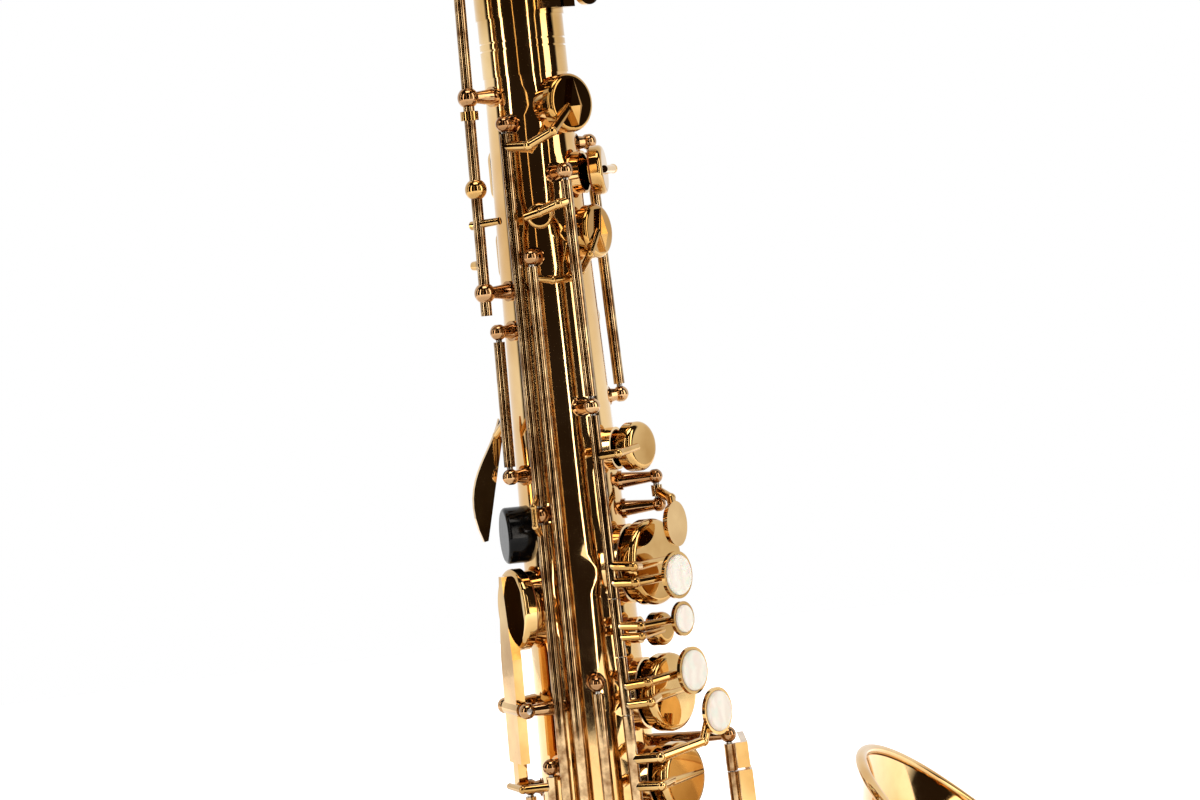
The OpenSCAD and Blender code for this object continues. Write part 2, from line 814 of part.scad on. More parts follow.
module low_stack_key(s0, s1, hole_s, hole_r, pearl_s)
    opened() {
        difference() {
            union() {
                key_tube(stack_rod_a, stack_rod_h, s0, s1);
                cup(stack_a, hole_s, hole_r, big_cup_h);
                stack_arm(hole_s + 0.3, hole_s + 0.2, 4.3 - hole_r, big_top - 0.5);
                stack_rib(hole_s - 0.15, hole_r);
                stack_arm(pearl_s + 1.8, pearl_s + 0.2, -1.3, 9.8);
                pearl_holder(pearl_s, 0, 13, holder_r);
            }
            key_bore(stack_rod_a, stack_rod_h, s0, s1);
        }
        pad(stack_a, hole_s, hole_r);
    }

module f_key() color("goldenrod") low_stack_key(35, 56.2, f_s, f_r, 48.1);

module f_pearl() color("ivory") opened() pearl_disc(48.1, 0, 13, holder_r);

module e_key() color("goldenrod") low_stack_key(17.2, 35 - end_gap, e_s, e_r, 28.5);

module e_pearl() color("ivory") opened() pearl_disc(28.5, 0, 13, holder_r);

module d_key() color("goldenrod") low_stack_key(5.6, 17.2 - end_gap, d_s, d_r, 10.5);

module d_pearl() color("ivory") opened() pearl_disc(10.5, 0, 13, holder_r);

// F sharp helper key whose arm runs below the stack hinge line
module f_sharp_key()
    color("goldenrod") swing(f_sharp_rod_a, f_sharp_rod_h, -9) {
        difference() {
            union() {
                key_tube(f_sharp_rod_a, f_sharp_rod_h, 49.6, 101.8);
                cup(stack_a, f_sharp_s, f_sharp_r, cup_h);
                path_bar([
                    tube_point(f_sharp_rod_a, f_sharp_rod_h, 64.4),
                    tube_point(60, 2, 64.4),
                    tube_point(44, 2, 64.2),
                    tube_point(stack_a, 5.4, 61.5, -7.4),
                    tube_point(stack_a, cup_top, f_sharp_s, 0)
                ], 1.15, 0.85);
            }
            key_bore(f_sharp_rod_a, f_sharp_rod_h, 49.6, 101.8);
        }
        pad(stack_a, f_sharp_s, f_sharp_r);
    }

// Small open C key, its hinge line beyond the front of the tube
module c_vent_key()
    color("goldenrod") swing(c_vent_rod_a, 4.2, c_vent_open) {
        difference() {
            union() {
                key_tube(c_vent_rod_a, 4.2, 181.4, 244.2);
                cup(c_vent_a, c_vent_s, vent_r, cup_h);
                path_bar([
                    tube_point(c_vent_rod_a, 4.2, c_vent_s),
                    tube_point(c_vent_a, cup_top + 1, c_vent_s, 8),
                    tube_point(c_vent_a, cup_top, c_vent_s, -2)
                ], 1.3, 1);
            }
            key_bore(c_vent_rod_a, 4.2, 181.4, 244.2);
        }
        pad(c_vent_a, c_vent_s, vent_r);
    }

// Kite shaped rib on top of a small cup
module kite_rib(a, s, r)
    at_tube(a, s, cup_top - 0.5) rotate([0, 90, 0])
        linear_extrude(1.6)
            polygon([[-0.8 * r, 0], [0.15 * r, 0.24 * r], [0.8 * r, 0], [0.15 * r, -0.24 * r]]);

module high_e_key()
    color("goldenrod") {
        difference() {
            union() {
                key_tube(high_e_rod_a, side_rod_h, 49.6, 147.4);
                key_tube(high_e_rod_a, side_rod_h, 152.6, 250.8);
                path_bar([
                    tube_point(high_e_rod_a, side_rod_h + 1.2, 145),
                    tube_point(high_e_rod_a - 1, side_rod_h + 4.2, 147.4),
                    tube_point(high_e_rod_a - 1, side_rod_h + 4.2, 152.6),
                    tube_point(high_e_rod_a, side_rod_h + 1.2, 155)
                ], 0.8, 0.8);
                cup(high_e_a, high_e_s, high_e_r, cup_h);
                path_bar([
                    tube_point(high_e_rod_a, side_rod_h, 247.5),
                    tube_point(82, 6.8, 247),
                    tube_point(high_e_a, cup_top + 1.6, 250, -9.8),
                    tube_point(high_e_a, cup_top, high_e_s - 1, -1)
                ], 1.4, 1.1);
                kite_rib(high_e_a, high_e_s, high_e_r);
                bar(tube_point(high_e_rod_a, side_rod_h, 60), tube_point(116, 10, 60), 1.4, 1.2);
                at_tube(117, 53.5, 9.6) paddle(17, 7.5, 1.5);
            }
            key_bore(high_e_rod_a, side_rod_h, 49.6, 250.8);
        }
        pad(high_e_a, high_e_s, high_e_r);
    }

module side_c_key()
    color("goldenrod") {
        difference() {
            union() {
                key_tube(side_c_rod_a, side_rod_h, 37.6, 215.4);
                cup(side_c_a, side_c_s, side_c_r, cup_h);
                path_bar([
                    tube_point(side_c_rod_a, side_rod_h, 212.5),
                    tube_point(72, 1.8, 211.5),
                    tube_point(52, 1.8, 211.5),
                    tube_point(40, 2.6, 213),
                    tube_point(side_c_a, cup_top + 0.6, 217, -7.6),
                    tube_point(side_c_a, cup_top, side_c_s, -1)
                ], 1, 0.95);
                kite_rib(side_c_a, side_c_s, side_c_r);
                bar(tube_point(side_c_rod_a, side_rod_h, 44), tube_point(104, 10, 44), 1.4, 1.2);
                at_tube(105, 38.5, 9.6) paddle(13.5, 7.5, 1.5);
            }
            key_bore(side_c_rod_a, side_rod_h, 37.6, 215.4);
        }
        pad(side_c_a, side_c_s, side_c_r);
    }

// Rocking key on a cross hinge
module side_b_flat_key()
    color("goldenrod") {
        difference() {
            union() {
                cup(side_b_a, side_b_s, side_b_r, cup_h);
                at_tube(side_b_a, 0, cup_top - 0.2) rotate([90, 0, 90])
                    linear_extrude(2.6)
                        polygon([[-1, 134], [1, 134], [4.4, 112], [4.4, 84], [1.7, 84], [1.7, 76.5],
                            [-1.7, 76.5], [-1.7, 84], [-4.4, 84], [-4.4, 112]]);
                at_tube(side_b_a, side_b_pivot_s, side_b_pivot_h)
                    translate([0, 5.6, 0]) rotate([90, 0, 0]) cylinder(r = 2.1, h = 11.2);
            }
            at_tube(side_b_a, side_b_pivot_s, side_b_pivot_h)
                translate([0, 7, 0]) rotate([90, 0, 0]) cylinder(r = bore_r, h = 14);
        }
        pad(side_b_a, side_b_s, side_b_r);
    }

module side_b_flat_lever()
    color("goldenrod")
        difference() {
            union() {
                key_tube(lever_rod_a, side_rod_h, 20.6, 80.4);
                path_bar([
                    tube_point(lever_rod_a, side_rod_h, 77.8),
                    tube_point(131, 10.2, 77.8),
                    tube_point(151, 9.6, 77.8)
                ], 1.2, 0.9);
                bar(tube_point(lever_rod_a, side_rod_h, 30), tube_point(126, 10, 30), 1.4, 1.2);
                at_tube(128, 22.5, 9.2) paddle(15, 7, 1.5);
            }
            key_bore(lever_rod_a, side_rod_h, 20.6, 80.4);
        }

module palm_key(i) {
    s0 = palm_post_s[i] + ball_r + 0.4;
    s1 = palm_post_s[i + 1] - ball_r - 0.4;
    difference() {
        union() {
            key_tube(palm_rod_a, 4.2, s0, s1);
            cup(palm_a, palm_s[i], palm_r, cup_h);
            path_bar([
                tube_point(palm_rod_a, 4.2, palm_s[i]),
                tube_point(palm_a, cup_top + 1, palm_s[i], 8),
                tube_point(palm_a, cup_top, palm_s[i], -2)
            ], 1.4, 1);
            path_bar([
                tube_point(palm_rod_a, 4.2, s0 + 5),
                tube_point(-120, 8.5, s0 + 5),
                tube_point(-123, 10.9, s0 + 5)
            ], 1.4, 1.2);
            at_tube(-124, s0 - 3, 10.4) paddle(16, 8, 1.6);
        }
        key_bore(palm_rod_a, 4.2, s0, s1);
    }
    pad(palm_a, palm_s[i], palm_r);
}

module palm_d_key() color("goldenrod") palm_key(0);

module palm_e_flat_key() color("goldenrod") palm_key(1);

module palm_f_key() color("goldenrod") palm_key(2);

// Small vent key on the upper part of the stack hinge line
module body_octave_key()
    color("goldenrod") {
        difference() {
            union() {
                key_tube(stack_rod_a, stack_rod_h, 180, 237);
                cup(pip_a, pip_s, pip_r, 2.4);
                path_bar([
                    tube_point(stack_rod_a, stack_rod_h, 231.5),
                    tube_point(64, 7.6, 231),
                    tube_point(pip_a, 5.6, 229.4),
                    tube_point(92, 6.6, 228.4)
                ], 1.3, 1);
            }
            key_bore(stack_rod_a, stack_rod_h, 180, 237);
        }
        pad(pip_a, pip_s, pip_r);
    }

// Octave shaft that turns in two tall posts and lifts the ring of the neck key
module octave_rocker()
    color("goldenrod") {
        at_tube(octave_a, 203.6, octave_h) cylinder(r = sleeve_r, h = receiver_top - 203.6 + 2.4);
        translate(tube_point(octave_a, octave_h, 237)) sphere(2.9);
        at_tube(octave_a, 255.2, octave_h) cylinder(r = 2.4, h = 2.4);
        path_bar([
            tube_point(140, 8.6, 227.6),
            tube_point(octave_a, octave_h, 227.8),
            tube_point(113, 6.9, 228.2)
        ], 1.2, 1);
        bar(tube_point(octave_a, octave_h, 217), tube_point(142, 8.8, 217), 1.6, 1.2);
    }

// Point at share t of a curve with two end points and two handles
function curve(p, t) = pow(1 - t, 3) * p[0] + 3 * t * pow(1 - t, 2) * p[1]
    + 3 * t * t * (1 - t) * p[2] + pow(t, 3) * p[3];

// Outline of the thumb touch, height above the tube against the way up: a blade that swings out past the rest
module thumb_blade() {
    tip = rest_s - 0.8;
    outer = [[4.2, tip + 32.4], [7, tip + 22.4], [17.5, tip + 16.4], [11, tip]];
    inner = [[9.9, tip + 0.2], [8.4, tip + 6.4], [7, tip + 13.4], [3.4, tip + 28.4]];
    polygon(concat(
        [for (i = [0 : 14]) curve(outer, i / 14)],
        [for (i = [0 : 10]) curve(inner, i / 10)]));
}

// Thumb touch beside the thumb rest
module octave_thumb_key()
    color("goldenrod")
        difference() {
            union() {
                key_tube(octave_a, thumb_key_h, 163.2, 196.4);
                at_tube(blade_a, 0, 0) translate([0, 0.8, 0]) rotate([90, 0, 0])
                    linear_extrude(1.6) thumb_blade();
                bar(tube_point(octave_a, thumb_key_h, rest_s + 30.6),
                    tube_point(blade_a, 5, rest_s + 27.1), 1.4, 1.2);
            }
            key_bore(octave_a, thumb_key_h, 163.2, 196.4);
        }

module front_f_key()
    color("goldenrod")
        difference() {
            union() {
                key_tube(front_f_a, front_f_h, 150.7, 153.7);
                path_bar([
                    tube_point(front_f_a, front_f_h, 152.2),
                    tube_point(4, 13.6, 150),
                    tube_point(13, 15.6, 146)
                ], 1.3, 1.2);
                at_tube(16, 143.6, 15.2) rotate([0, 90, 0]) cylinder(r1 = 5.4, r2 = 6, h = 1.6);
            }
            key_bore(front_f_a, front_f_h, 150.7, 153.7);
        }

module g_sharp_key()
    color("goldenrod") {
        difference() {
            union() {
                key_tube(g_sharp_rod_a, 4, 51.6, 72.4);
                cup(g_sharp_a, g_sharp_s, g_sharp_r, cup_h);
                path_bar([
                    tube_point(g_sharp_rod_a, 4, g_sharp_s),
                    tube_point(g_sharp_a, cup_top + 1, g_sharp_s, -8.6),
                    tube_point(g_sharp_a, cup_top, g_sharp_s, 2)
                ], 1.4, 1);
            }
            key_bore(g_sharp_rod_a, 4, 51.6, 72.4);
        }
        pad(g_sharp_a, g_sharp_s, g_sharp_r);
    }

// One lever of the left little finger table
module table_lever(i, reach, lift) {
    s0 = i == 0 ? table_s[0] + ball_r + end_gap : table_s[i];
    s1 = i == 3 ? table_s[4] - ball_r - end_gap : table_s[i + 1] - end_gap;
    difference() {
        union() {
            key_tube(table_a, table_h, s0, s1);
            at_tube(table_a, s0 + 0.2, table_h + lift)
                translate([0, 0.6, 0]) cube([1.8, reach, s1 - s0 - 0.4]);
            at_tube(table_a, s0 + 0.2, table_h)
                translate([0, 0.4, 0]) cube([lift + 0.5, 1.6, s1 - s0 - 0.4]);
        }
        key_bore(table_a, table_h, s0, s1);
    }
}

module low_b_flat_lever() color("goldenrod") table_lever(0, 17, 3.2);

module low_b_lever() color("goldenrod") table_lever(1, 15, 3.2);

module low_c_sharp_lever() color("goldenrod") table_lever(2, 15, 3.6);

module g_sharp_lever() color("goldenrod") table_lever(3, 19, 3.2);

module e_flat_key()
    color("goldenrod") {
        difference() {
            union() {
                translate([e_flat_rod[0], e_flat_rod[1], -14.2]) cylinder(r = sleeve_r, h = 22.2);
                translate([e_flat_at[0], -tube_r_low - cup_base, e_flat_at[1]])
                    rotate([90, 0, 0]) cup_shape(e_flat_r, cup_h);
                path_bar([
                    [e_flat_rod[0], e_flat_rod[1], -12],
                    [e_flat_at[0] - 10.4, -tube_r_low - cup_top - 0.8, -13],
                    [e_flat_at[0] + 3, -tube_r_low - cup_top, e_flat_at[1]]
                ], 1.4, 1.1);
                bar([e_flat_rod[0], e_flat_rod[1], 2], [-17.5, -27.5, 2], 1.3, 1.1);
                translate([-18, -28.6, -7]) rotate([0, 0, 70]) paddle(17, 8, 1.7);
            }
            translate([e_flat_rod[0], e_flat_rod[1], -20]) cylinder(r = bore_r, h = 40);
        }
        translate([e_flat_at[0], -tube_r_low - cup_base, e_flat_at[1]])
            rotate([90, 0, 0]) pad_shape(e_flat_r);
    }

module low_c_key()
    color("goldenrod") swing_z(low_c_rod, bell_open) {
        difference() {
            union() {
                translate([low_c_rod[0], low_c_rod[1], -34.2]) cylinder(r = sleeve_r, h = 12.9);
                translate([low_c_at[0], -tube_r_low - cup_base, low_c_at[1]])
                    rotate([90, 0, 0]) cup_shape(low_c_r, big_cup_h);
                path_bar([
                    [low_c_rod[0], low_c_rod[1], -25],
                    [low_c_at[0] + 10, -tube_r_low - big_top - 0.8, low_c_at[1]],
                    [low_c_at[0], -tube_r_low - big_top, low_c_at[1]],
                    [16, -tube_r_low - big_top - 4, -4]
                ], 1.3, 1.1);
                translate([14, -tube_r_low - big_top - 5.4, -6]) rotate([0, 0, -90]) paddle(15, 8, 1.6);
            }
            translate([low_c_rod[0], low_c_rod[1], -40]) cylinder(r = bore_r, h = 40);
        }
        translate([low_c_at[0], -tube_r_low - cup_base, low_c_at[1]]) rotate([90, 0, 0]) pad_shape(low_c_r);
    }

// Key on the right of the bell
module bell_key(s0, s1, s, r, top) {
    base = top + seat_gap + pad_show;
    at_bell() swing_z(bell_rod, bell_open) {
        difference() {
            union() {
                translate([bell_rod[0], bell_rod[1], s0]) cylinder(r = sleeve_r, h = s1 - s0);
                translate([0, -base, s]) rotate([90, 0, 0]) cup_shape(r, big_cup_h);
                path_bar([
                    [bell_rod[0], bell_rod[1], s],
                    [r + 1, -base - big_cup_h - 0.8, s],
                    [-r / 2, -base - big_cup_h - 0.2, s + 0.3]
                ], 1.3, 1);
            }
            translate([bell_rod[0], bell_rod[1], s0 - 1]) cylinder(r = bore_r, h = s1 - s0 + 2);
        }
        translate([0, -base, s]) rotate([90, 0, 0]) pad_shape(r);
    }
}

module low_b_key() color("goldenrod") bell_key(4.4, 25.2, low_b_s, low_b_r, low_b_top);

module low_b_flat_key() color("goldenrod") bell_key(30.8, 51.8, low_b_flat_s, low_b_flat_r, low_b_flat_top);

module low_c_sharp_key()
    color("goldenrod") at_bell() {
        base = low_c_sharp_top + seat_gap + pad_show;
        difference() {
            union() {
                translate([low_c_sharp_rod[0], low_c_sharp_rod[1], 4.4]) cylinder(r = sleeve_r, h = 20.8);
                translate([0, base, low_c_sharp_s]) rotate([-90, 0, 0]) cup_shape(low_c_sharp_r, cup_h);
                path_bar([
                    [low_c_sharp_rod[0], low_c_sharp_rod[1], low_c_sharp_s],
                    [-low_c_sharp_r - 1, base + cup_h + 0.8, low_c_sharp_s],
                    [low_c_sharp_r / 2, base + cup_h + 0.2, low_c_sharp_s + 0.3]
                ], 1.3, 1);
            }
            translate([low_c_sharp_rod[0], low_c_sharp_rod[1], 0]) cylinder(r = bore_r, h = 40);
        }
        translate([0, base, low_c_sharp_s]) rotate([-90, 0, 0]) pad_shape(low_c_sharp_r);
    }

// Guard over the two bell keys
module key_guards()
    color("gold")
        difference() {
            at_bell() {
                path_bar([[-9, -12, 28], [-17, -27, 28], [-15, -38.6, 28], [-2, -35.7, low_b_s]], 1.9, 1.2);
                bar([-15, -38.6, 28], [-2, -40.4, low_b_flat_s], 1.25, 1.05);
                translate([-2, -34.2, low_b_s]) rotate([90, 0, 0]) cylinder(r = 4.2, h = 2);
                translate([-2, -39, low_b_flat_s]) rotate([90, 0, 0]) cylinder(r = 4.2, h = 2);
            }
            bell_skin();
        }

module guard_bumpers()
    color("darkred") at_bell() {
        translate([-2, -32.6, low_b_s]) rotate([90, 0, 0]) cylinder(r = 3.4, h = 1.6);
        translate([-2, -37.4, low_b_flat_s]) rotate([90, 0, 0]) cylinder(r = 3.4, h = 1.6);
    }

neck_z = receiver_top + 4.4;

module at_neck(angle)
    translate([-neck_bend, 0, neck_z])
        rotate([0, -angle, 0])
            translate([neck_bend, 0, 0])
                children();

// Rings of a bent round tube, outer skin out and inner skin back
module neck_tube() {
    n = 28;
    steps = 14;
    last = neck_bend * neck_turn * PI / 180 + cork_len;
    function radius(d) = 8.7 - 2.6 * d / last;
    function ring(c, t, r) = [for (j = [0 : n - 1])
        [c[0] + r * cos(j * 360 / n) * cos(t), r * sin(j * 360 / n), c[1] + r * cos(j * 360 / n) * sin(t)]];
    stations = concat(
        [for (i = [0 : steps]) let (t = neck_turn * i / steps)
            [-neck_bend + neck_bend * cos(t), neck_z + neck_bend * sin(t), t, neck_bend * t * PI / 180]],
        [[-neck_bend + neck_bend * cos(neck_turn) - cork_len * sin(neck_turn),
            neck_z + neck_bend * sin(neck_turn) + cork_len * cos(neck_turn), neck_turn, last]]);
    m = len(stations);
    outer = [for (q = stations) ring([q[0], q[1]], q[2], radius(q[3]))];
    inner = [for (i = [m - 1 : -1 : 0]) let (q = stations[i]) ring([q[0], q[1]], q[2], radius(q[3]) - wall)];
    rings = concat(outer, inner);
    k = len(rings);
    color("goldenrod")
        polyhedron(
            points = [for (g = rings) for (p = g) p],
            faces = [for (i = [0 : k - 1]) for (j = [0 : n - 1]) let (u = (i + 1) % k, v = (j + 1) % n)
                [i * n + j, u * n + j, u * n + v, i * n + v]]);
}

module neck_tenon()
    color("gold")
        difference() {
            union() {
                translate([0, 0, receiver_top - 22]) cylinder(r = socket_r - play, h = 22.4);
                translate([0, 0, receiver_top + 0.4])
                    cylinder(r = receiver_r - 0.2, h = neck_z - receiver_top - 0.4);
            }
            translate([0, 0, receiver_top - 30]) cylinder(r = 7.9, h = 60);
        }

module neck_posts()
    color("gold") {
        difference() {
            for (y = [-5.6, 5.6]) {
                at_neck(32) bar([4, y * 0.6, 0], [13.4, y, 0], 2, 1.2);
                at_neck(32) translate([13.4, y, 0]) sphere(ball_r - 0.2);
            }
            neck_solid();
            at_neck(32) translate([13.4, 10, 0]) rotate([90, 0, 0]) cylinder(r = bore_r, h = 20);
        }
        at_neck(32) translate([13.4, 7, 0]) rotate([90, 0, 0]) cylinder(r = rod_r, h = 14);
        at_neck(58) translate([7.5, 0, 0]) rotate([0, 90, 0]) cylinder(r = 1.8, h = 10.6 - seat_gap - 7.5);
    }

module neck_solid()
    at_neck(32) translate([0, 0, -12]) cylinder(r = 8.35, h = 24);

// Ring key that follows the octave shaft
module neck_octave_key()
    color("goldenrod") {
        difference() {
            union() {
                translate([0, 0, receiver_top + 3.2])
                    difference() {
                        cylinder(r = 20, h = 2);
                        translate([0, 0, -1]) cylinder(r = 17, h = 4);
                    }
                path_bar([
                    [18.6, 0, receiver_top + 4.2],
                    [15.5, 0, receiver_top + 16],
                    [-neck_bend + (neck_bend + 13.4) * cos(32), 0, neck_z + (neck_bend + 13.4) * sin(32)],
                    [-neck_bend + (neck_bend + 13.6) * cos(58), 0, neck_z + (neck_bend + 13.6) * sin(58)]
                ], 1.4, 1.2);
                at_neck(32) translate([13.4, 3.3, 0]) rotate([90, 0, 0]) cylinder(r = sleeve_r, h = 6.6);
                at_neck(58) translate([10.6, 0, 0]) rotate([0, 90, 0]) cylinder(r = 3, h = 3);
            }
            at_neck(32) translate([13.4, 8, 0]) rotate([90, 0, 0]) cylinder(r = bore_r, h = 16);
        }
    }

// Cork, mouthpiece and reed stand on the straight end of the neck
module at_tip()
    translate([-neck_bend + neck_bend * cos(neck_turn), 0, neck_z + neck_bend * sin(neck_turn)])
        rotate([0, -neck_turn, 0])
            children();

module neck_cork()
    color("tan") at_tip()
        translate([0, 0, 2])
            difference() {
                cylinder(r = cork_r, h = cork_len - 3);
                translate([0, 0, -1]) cylinder(r1 = 7.05, r2 = 6.25, h = cork_len);
            }

mouth_z = cork_len + 2 - mouth_grip;

module mouthpiece()
    color("black") at_tip() translate([0, 0, mouth_z])
        difference() {
            union() {
                cylinder(r = mouth_r - 0.6, h = mouth_len);
                cylinder(r = mouth_r, h = 12);
            }
            translate([0, 0, -1]) cylinder(r = cork_r + play, h = mouth_grip + 1);
            cylinder(r = reed_x - 0.8, h = mouth_len - 12);
            translate([-30, -20, mouth_len - 34]) cube([30 - reed_x, 40, 60]);
            translate([mouth_r + 1, -20, mouth_len - 31]) rotate([0, -24.5, 0]) cube([30, 40, 60]);
            translate([-9, -3.4, mouth_len - 30]) cube([12, 6.8, 27.5]);
        }

module reed()
    color("burlywood") at_tip() translate([0, 0, mouth_z])
        difference() {
            translate([-reed_x - 2.2, -5.6, mouth_len - 34]) cube([2.2, 11.2, 33.8]);
            translate([-reed_x - 2.2, -10, mouth_len - 20])
                rotate([0, 5.4, 0]) translate([-6, 0, 0]) cube([6, 20, 40]);
        }

module ligature()
    color("gold") at_tip() translate([0, 0, mouth_z + 13])
        difference() {
            union() {
                cylinder(r = mouth_r + 0.5, h = 16);
                translate([-mouth_r - 3.4, -3.2, 2]) cube([4.4, 6.4, 12]);
            }
            translate([0, 0, -1]) cylinder(r = mouth_r - 0.6 + 0.02, h = 18);
            translate([-mouth_r - 2, 10, 8]) rotate([90, 0, 0]) cylinder(r = 1.05, h = 20);
        }

module ligature_screw()
    color("goldenrod") at_tip() translate([-mouth_r - 2, 0, mouth_z + 21]) {
        translate([0, 5, 0]) rotate([90, 0, 0]) cylinder(r = 1, h = 13);
        translate([0, -5, 0]) rotate([90, 0, 0]) cylinder(r = 2.4, h = 4);
    }

// Puts the middle of the strap ring hole at the origin
module placed() translate(-strap_at) children();

placed() body_tube();
placed() bow();
placed() bell();
placed() bow_rings();
placed() neck_receiver();
placed() neck_screw();
placed() bell_brace();
placed() key_posts();
placed() hinge_rods();
placed() thumb_rest();
placed() thumb_hook();
placed() strap_ring();
placed() key_guards();
placed() guard_bumpers();
placed() neck_tube();
placed() neck_tenon();
placed() neck_posts();
placed() neck_cork();
placed() neck_octave_key();
placed() mouthpiece();
placed() ligature();
placed() ligature_screw();
placed() reed();
placed() octave_thumb_key();
placed() octave_rocker();
placed() body_octave_key();
placed() palm_d_key();
placed() palm_e_flat_key();
placed() palm_f_key();
placed() high_e_key();
placed() side_c_key();
placed() side_b_flat_key();
placed() side_b_flat_lever();
placed() front_f_key();
placed() b_key();
placed() bis_key();
placed() a_key();
placed() c_vent_key();
placed() g_key();
placed() g_sharp_key();
placed() f_sharp_key();
placed() f_key();
placed() e_key();
placed() d_key();
placed() e_flat_key();
placed() low_c_key();
placed() low_c_sharp_key();
placed() low_b_key();
placed() low_b_flat_key();
placed() g_sharp_lever();
placed() low_c_sharp_lever();
placed() low_b_lever();
placed() low_b_flat_lever();
placed() b_pearl();
placed() bis_pearl();
placed() a_pearl();
placed() g_pearl();
placed() f_pearl();
placed() e_pearl();
placed() d_pearl();
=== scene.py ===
import json
import math

import bmesh
import bpy
import numpy as np
from mathutils import Matrix, Vector


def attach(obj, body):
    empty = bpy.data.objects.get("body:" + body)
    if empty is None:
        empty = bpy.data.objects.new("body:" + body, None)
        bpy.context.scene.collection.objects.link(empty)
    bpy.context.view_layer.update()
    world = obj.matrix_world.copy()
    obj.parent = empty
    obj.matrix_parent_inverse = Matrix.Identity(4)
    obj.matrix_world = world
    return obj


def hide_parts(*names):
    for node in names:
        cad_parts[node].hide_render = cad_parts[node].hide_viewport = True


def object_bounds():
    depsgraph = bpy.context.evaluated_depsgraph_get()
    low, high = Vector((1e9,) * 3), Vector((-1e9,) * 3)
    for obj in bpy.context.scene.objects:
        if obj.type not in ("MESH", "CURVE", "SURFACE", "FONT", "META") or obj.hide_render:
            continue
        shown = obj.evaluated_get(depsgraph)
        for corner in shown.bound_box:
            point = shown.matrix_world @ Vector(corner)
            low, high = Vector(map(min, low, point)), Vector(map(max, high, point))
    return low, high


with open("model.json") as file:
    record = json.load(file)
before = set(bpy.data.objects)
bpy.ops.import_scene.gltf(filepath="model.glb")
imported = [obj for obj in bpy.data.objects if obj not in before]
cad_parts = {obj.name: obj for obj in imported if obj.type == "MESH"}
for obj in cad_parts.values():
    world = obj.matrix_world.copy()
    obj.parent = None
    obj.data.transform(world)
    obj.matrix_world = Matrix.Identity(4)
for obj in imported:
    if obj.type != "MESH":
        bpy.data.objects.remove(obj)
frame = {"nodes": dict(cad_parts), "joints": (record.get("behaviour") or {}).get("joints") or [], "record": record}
nodes = frame["nodes"]
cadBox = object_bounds()
scene = bpy.context.scene
members = frame["record"]["behaviour"]["bodies"]
bodyOf = {name: body for body, names in members.items() for name in names}
print("stage: frame loaded,", len(nodes), "nodes")

# Body tube, in millimetres. The strap ring, given by its angle from the front, height on the skin and way up,
# is the origin of the frame.
tube = {"length": 266.0, "lowRadius": 17.6, "topRadius": 11.2, "strap": (180.0, 7.2, 36.0)}
taper = math.atan((tube["lowRadius"] - tube["topRadius"]) / tube["length"])


def tubePoint(a, h, s):
    # a cone: its radius falls with the way up s, the height h stands square on its skin, a turns about its axis
    a = math.radians(a)
    r = tube["lowRadius"] + h * math.cos(taper) - s * math.sin(taper)
    return np.array([r * math.cos(a), -r * math.sin(a), h * math.sin(taper) + s * math.cos(taper)])


strapAt = tubePoint(*tube["strap"])


# Materials

def srgb(code):
    # hex to linear: a straight foot, then a power of 2.4
    c = [int(code[i:i + 2], 16) / 255 for i in (1, 3, 5)]
    return tuple(v / 12.92 if v <= 0.04045 else ((v + 0.055) / 1.055) ** 2.4 for v in c) + (1.0,)


def addNode(tree, kind, inputs=None, out=0, **props):
    # adds a node, sets its properties, links or fills its inputs and hands back one output;
    # a colour mix has its factor at 0, its colours at 6 and 7 and its result at 2
    n = tree.nodes.new(kind)
    for k, v in props.items():
        setattr(n, k, v)
    for k, v in (inputs or {}).items():
        if isinstance(v, bpy.types.NodeSocket):
            tree.links.new(v, n.inputs[k])
        else:
            n.inputs[k].default_value = v
    return n.outputs[out]


def newMaterial(name, **constants):
    # a material with its shader's fixed values, handed back with its tree, shader and Object coordinates
    m = bpy.data.materials.new(name)
    m.use_nodes = True
    tree = m.node_tree
    shader = tree.nodes["Principled BSDF"]
    for k, v in constants.items():
        shader.inputs[k.replace("_", " ")].default_value = v
    return m, tree, shader, addNode(tree, "ShaderNodeTexCoord", out="Object")


def perMm(size):
    return 1000.0 / size  # pattern scale for a real size in millimetres


# Lacquered brass: polished under clear lacquer, a mirror in pale gold, clouded where the lacquer has yellowed,
# with pin spots where it has gone. Key tubes that fingers and oil reach are worn to a browner rose.
# Pattern sizes are in millimetres; the spots are drawn coarser than real ones, so that they show.
brassWear = {"cloud": 26.0, "spot": 1.3, "haze": 4.0, "rose": 5.0, "wave": 14.0,
             "spotEdge": 0.04, "spotDepth": 0.8, "spotTone": "#5a3414", "hazeRough": 0.06,
             "roseDeep": "#755230", "rosePale": "#ccae82", "waveStrength": 0.02, "waveHeight": 0.0003,
             "tubeRadius": 0.00162, "tubeEdge": 0.0003}


def hingeTube(tree, coords, at, along):
    # 1 on the key tube, 0 away from it: the distance to the hinge line is the length of a cross product
    rel = addNode(tree, "ShaderNodeVectorMath", {0: coords, 1: at}, operation="SUBTRACT")
    cross = addNode(tree, "ShaderNodeVectorMath", {0: rel, 1: along}, operation="CROSS_PRODUCT")
    away = addNode(tree, "ShaderNodeVectorMath", {0: cross}, out="Value", operation="LENGTH")
    radius = brassWear["tubeRadius"]
    return addNode(tree, "ShaderNodeMapRange", {"Value": away, "From Min": radius, "To Min": 1.0, "To Max": 0.0,
                                                "From Max": radius + brassWear["tubeEdge"]})


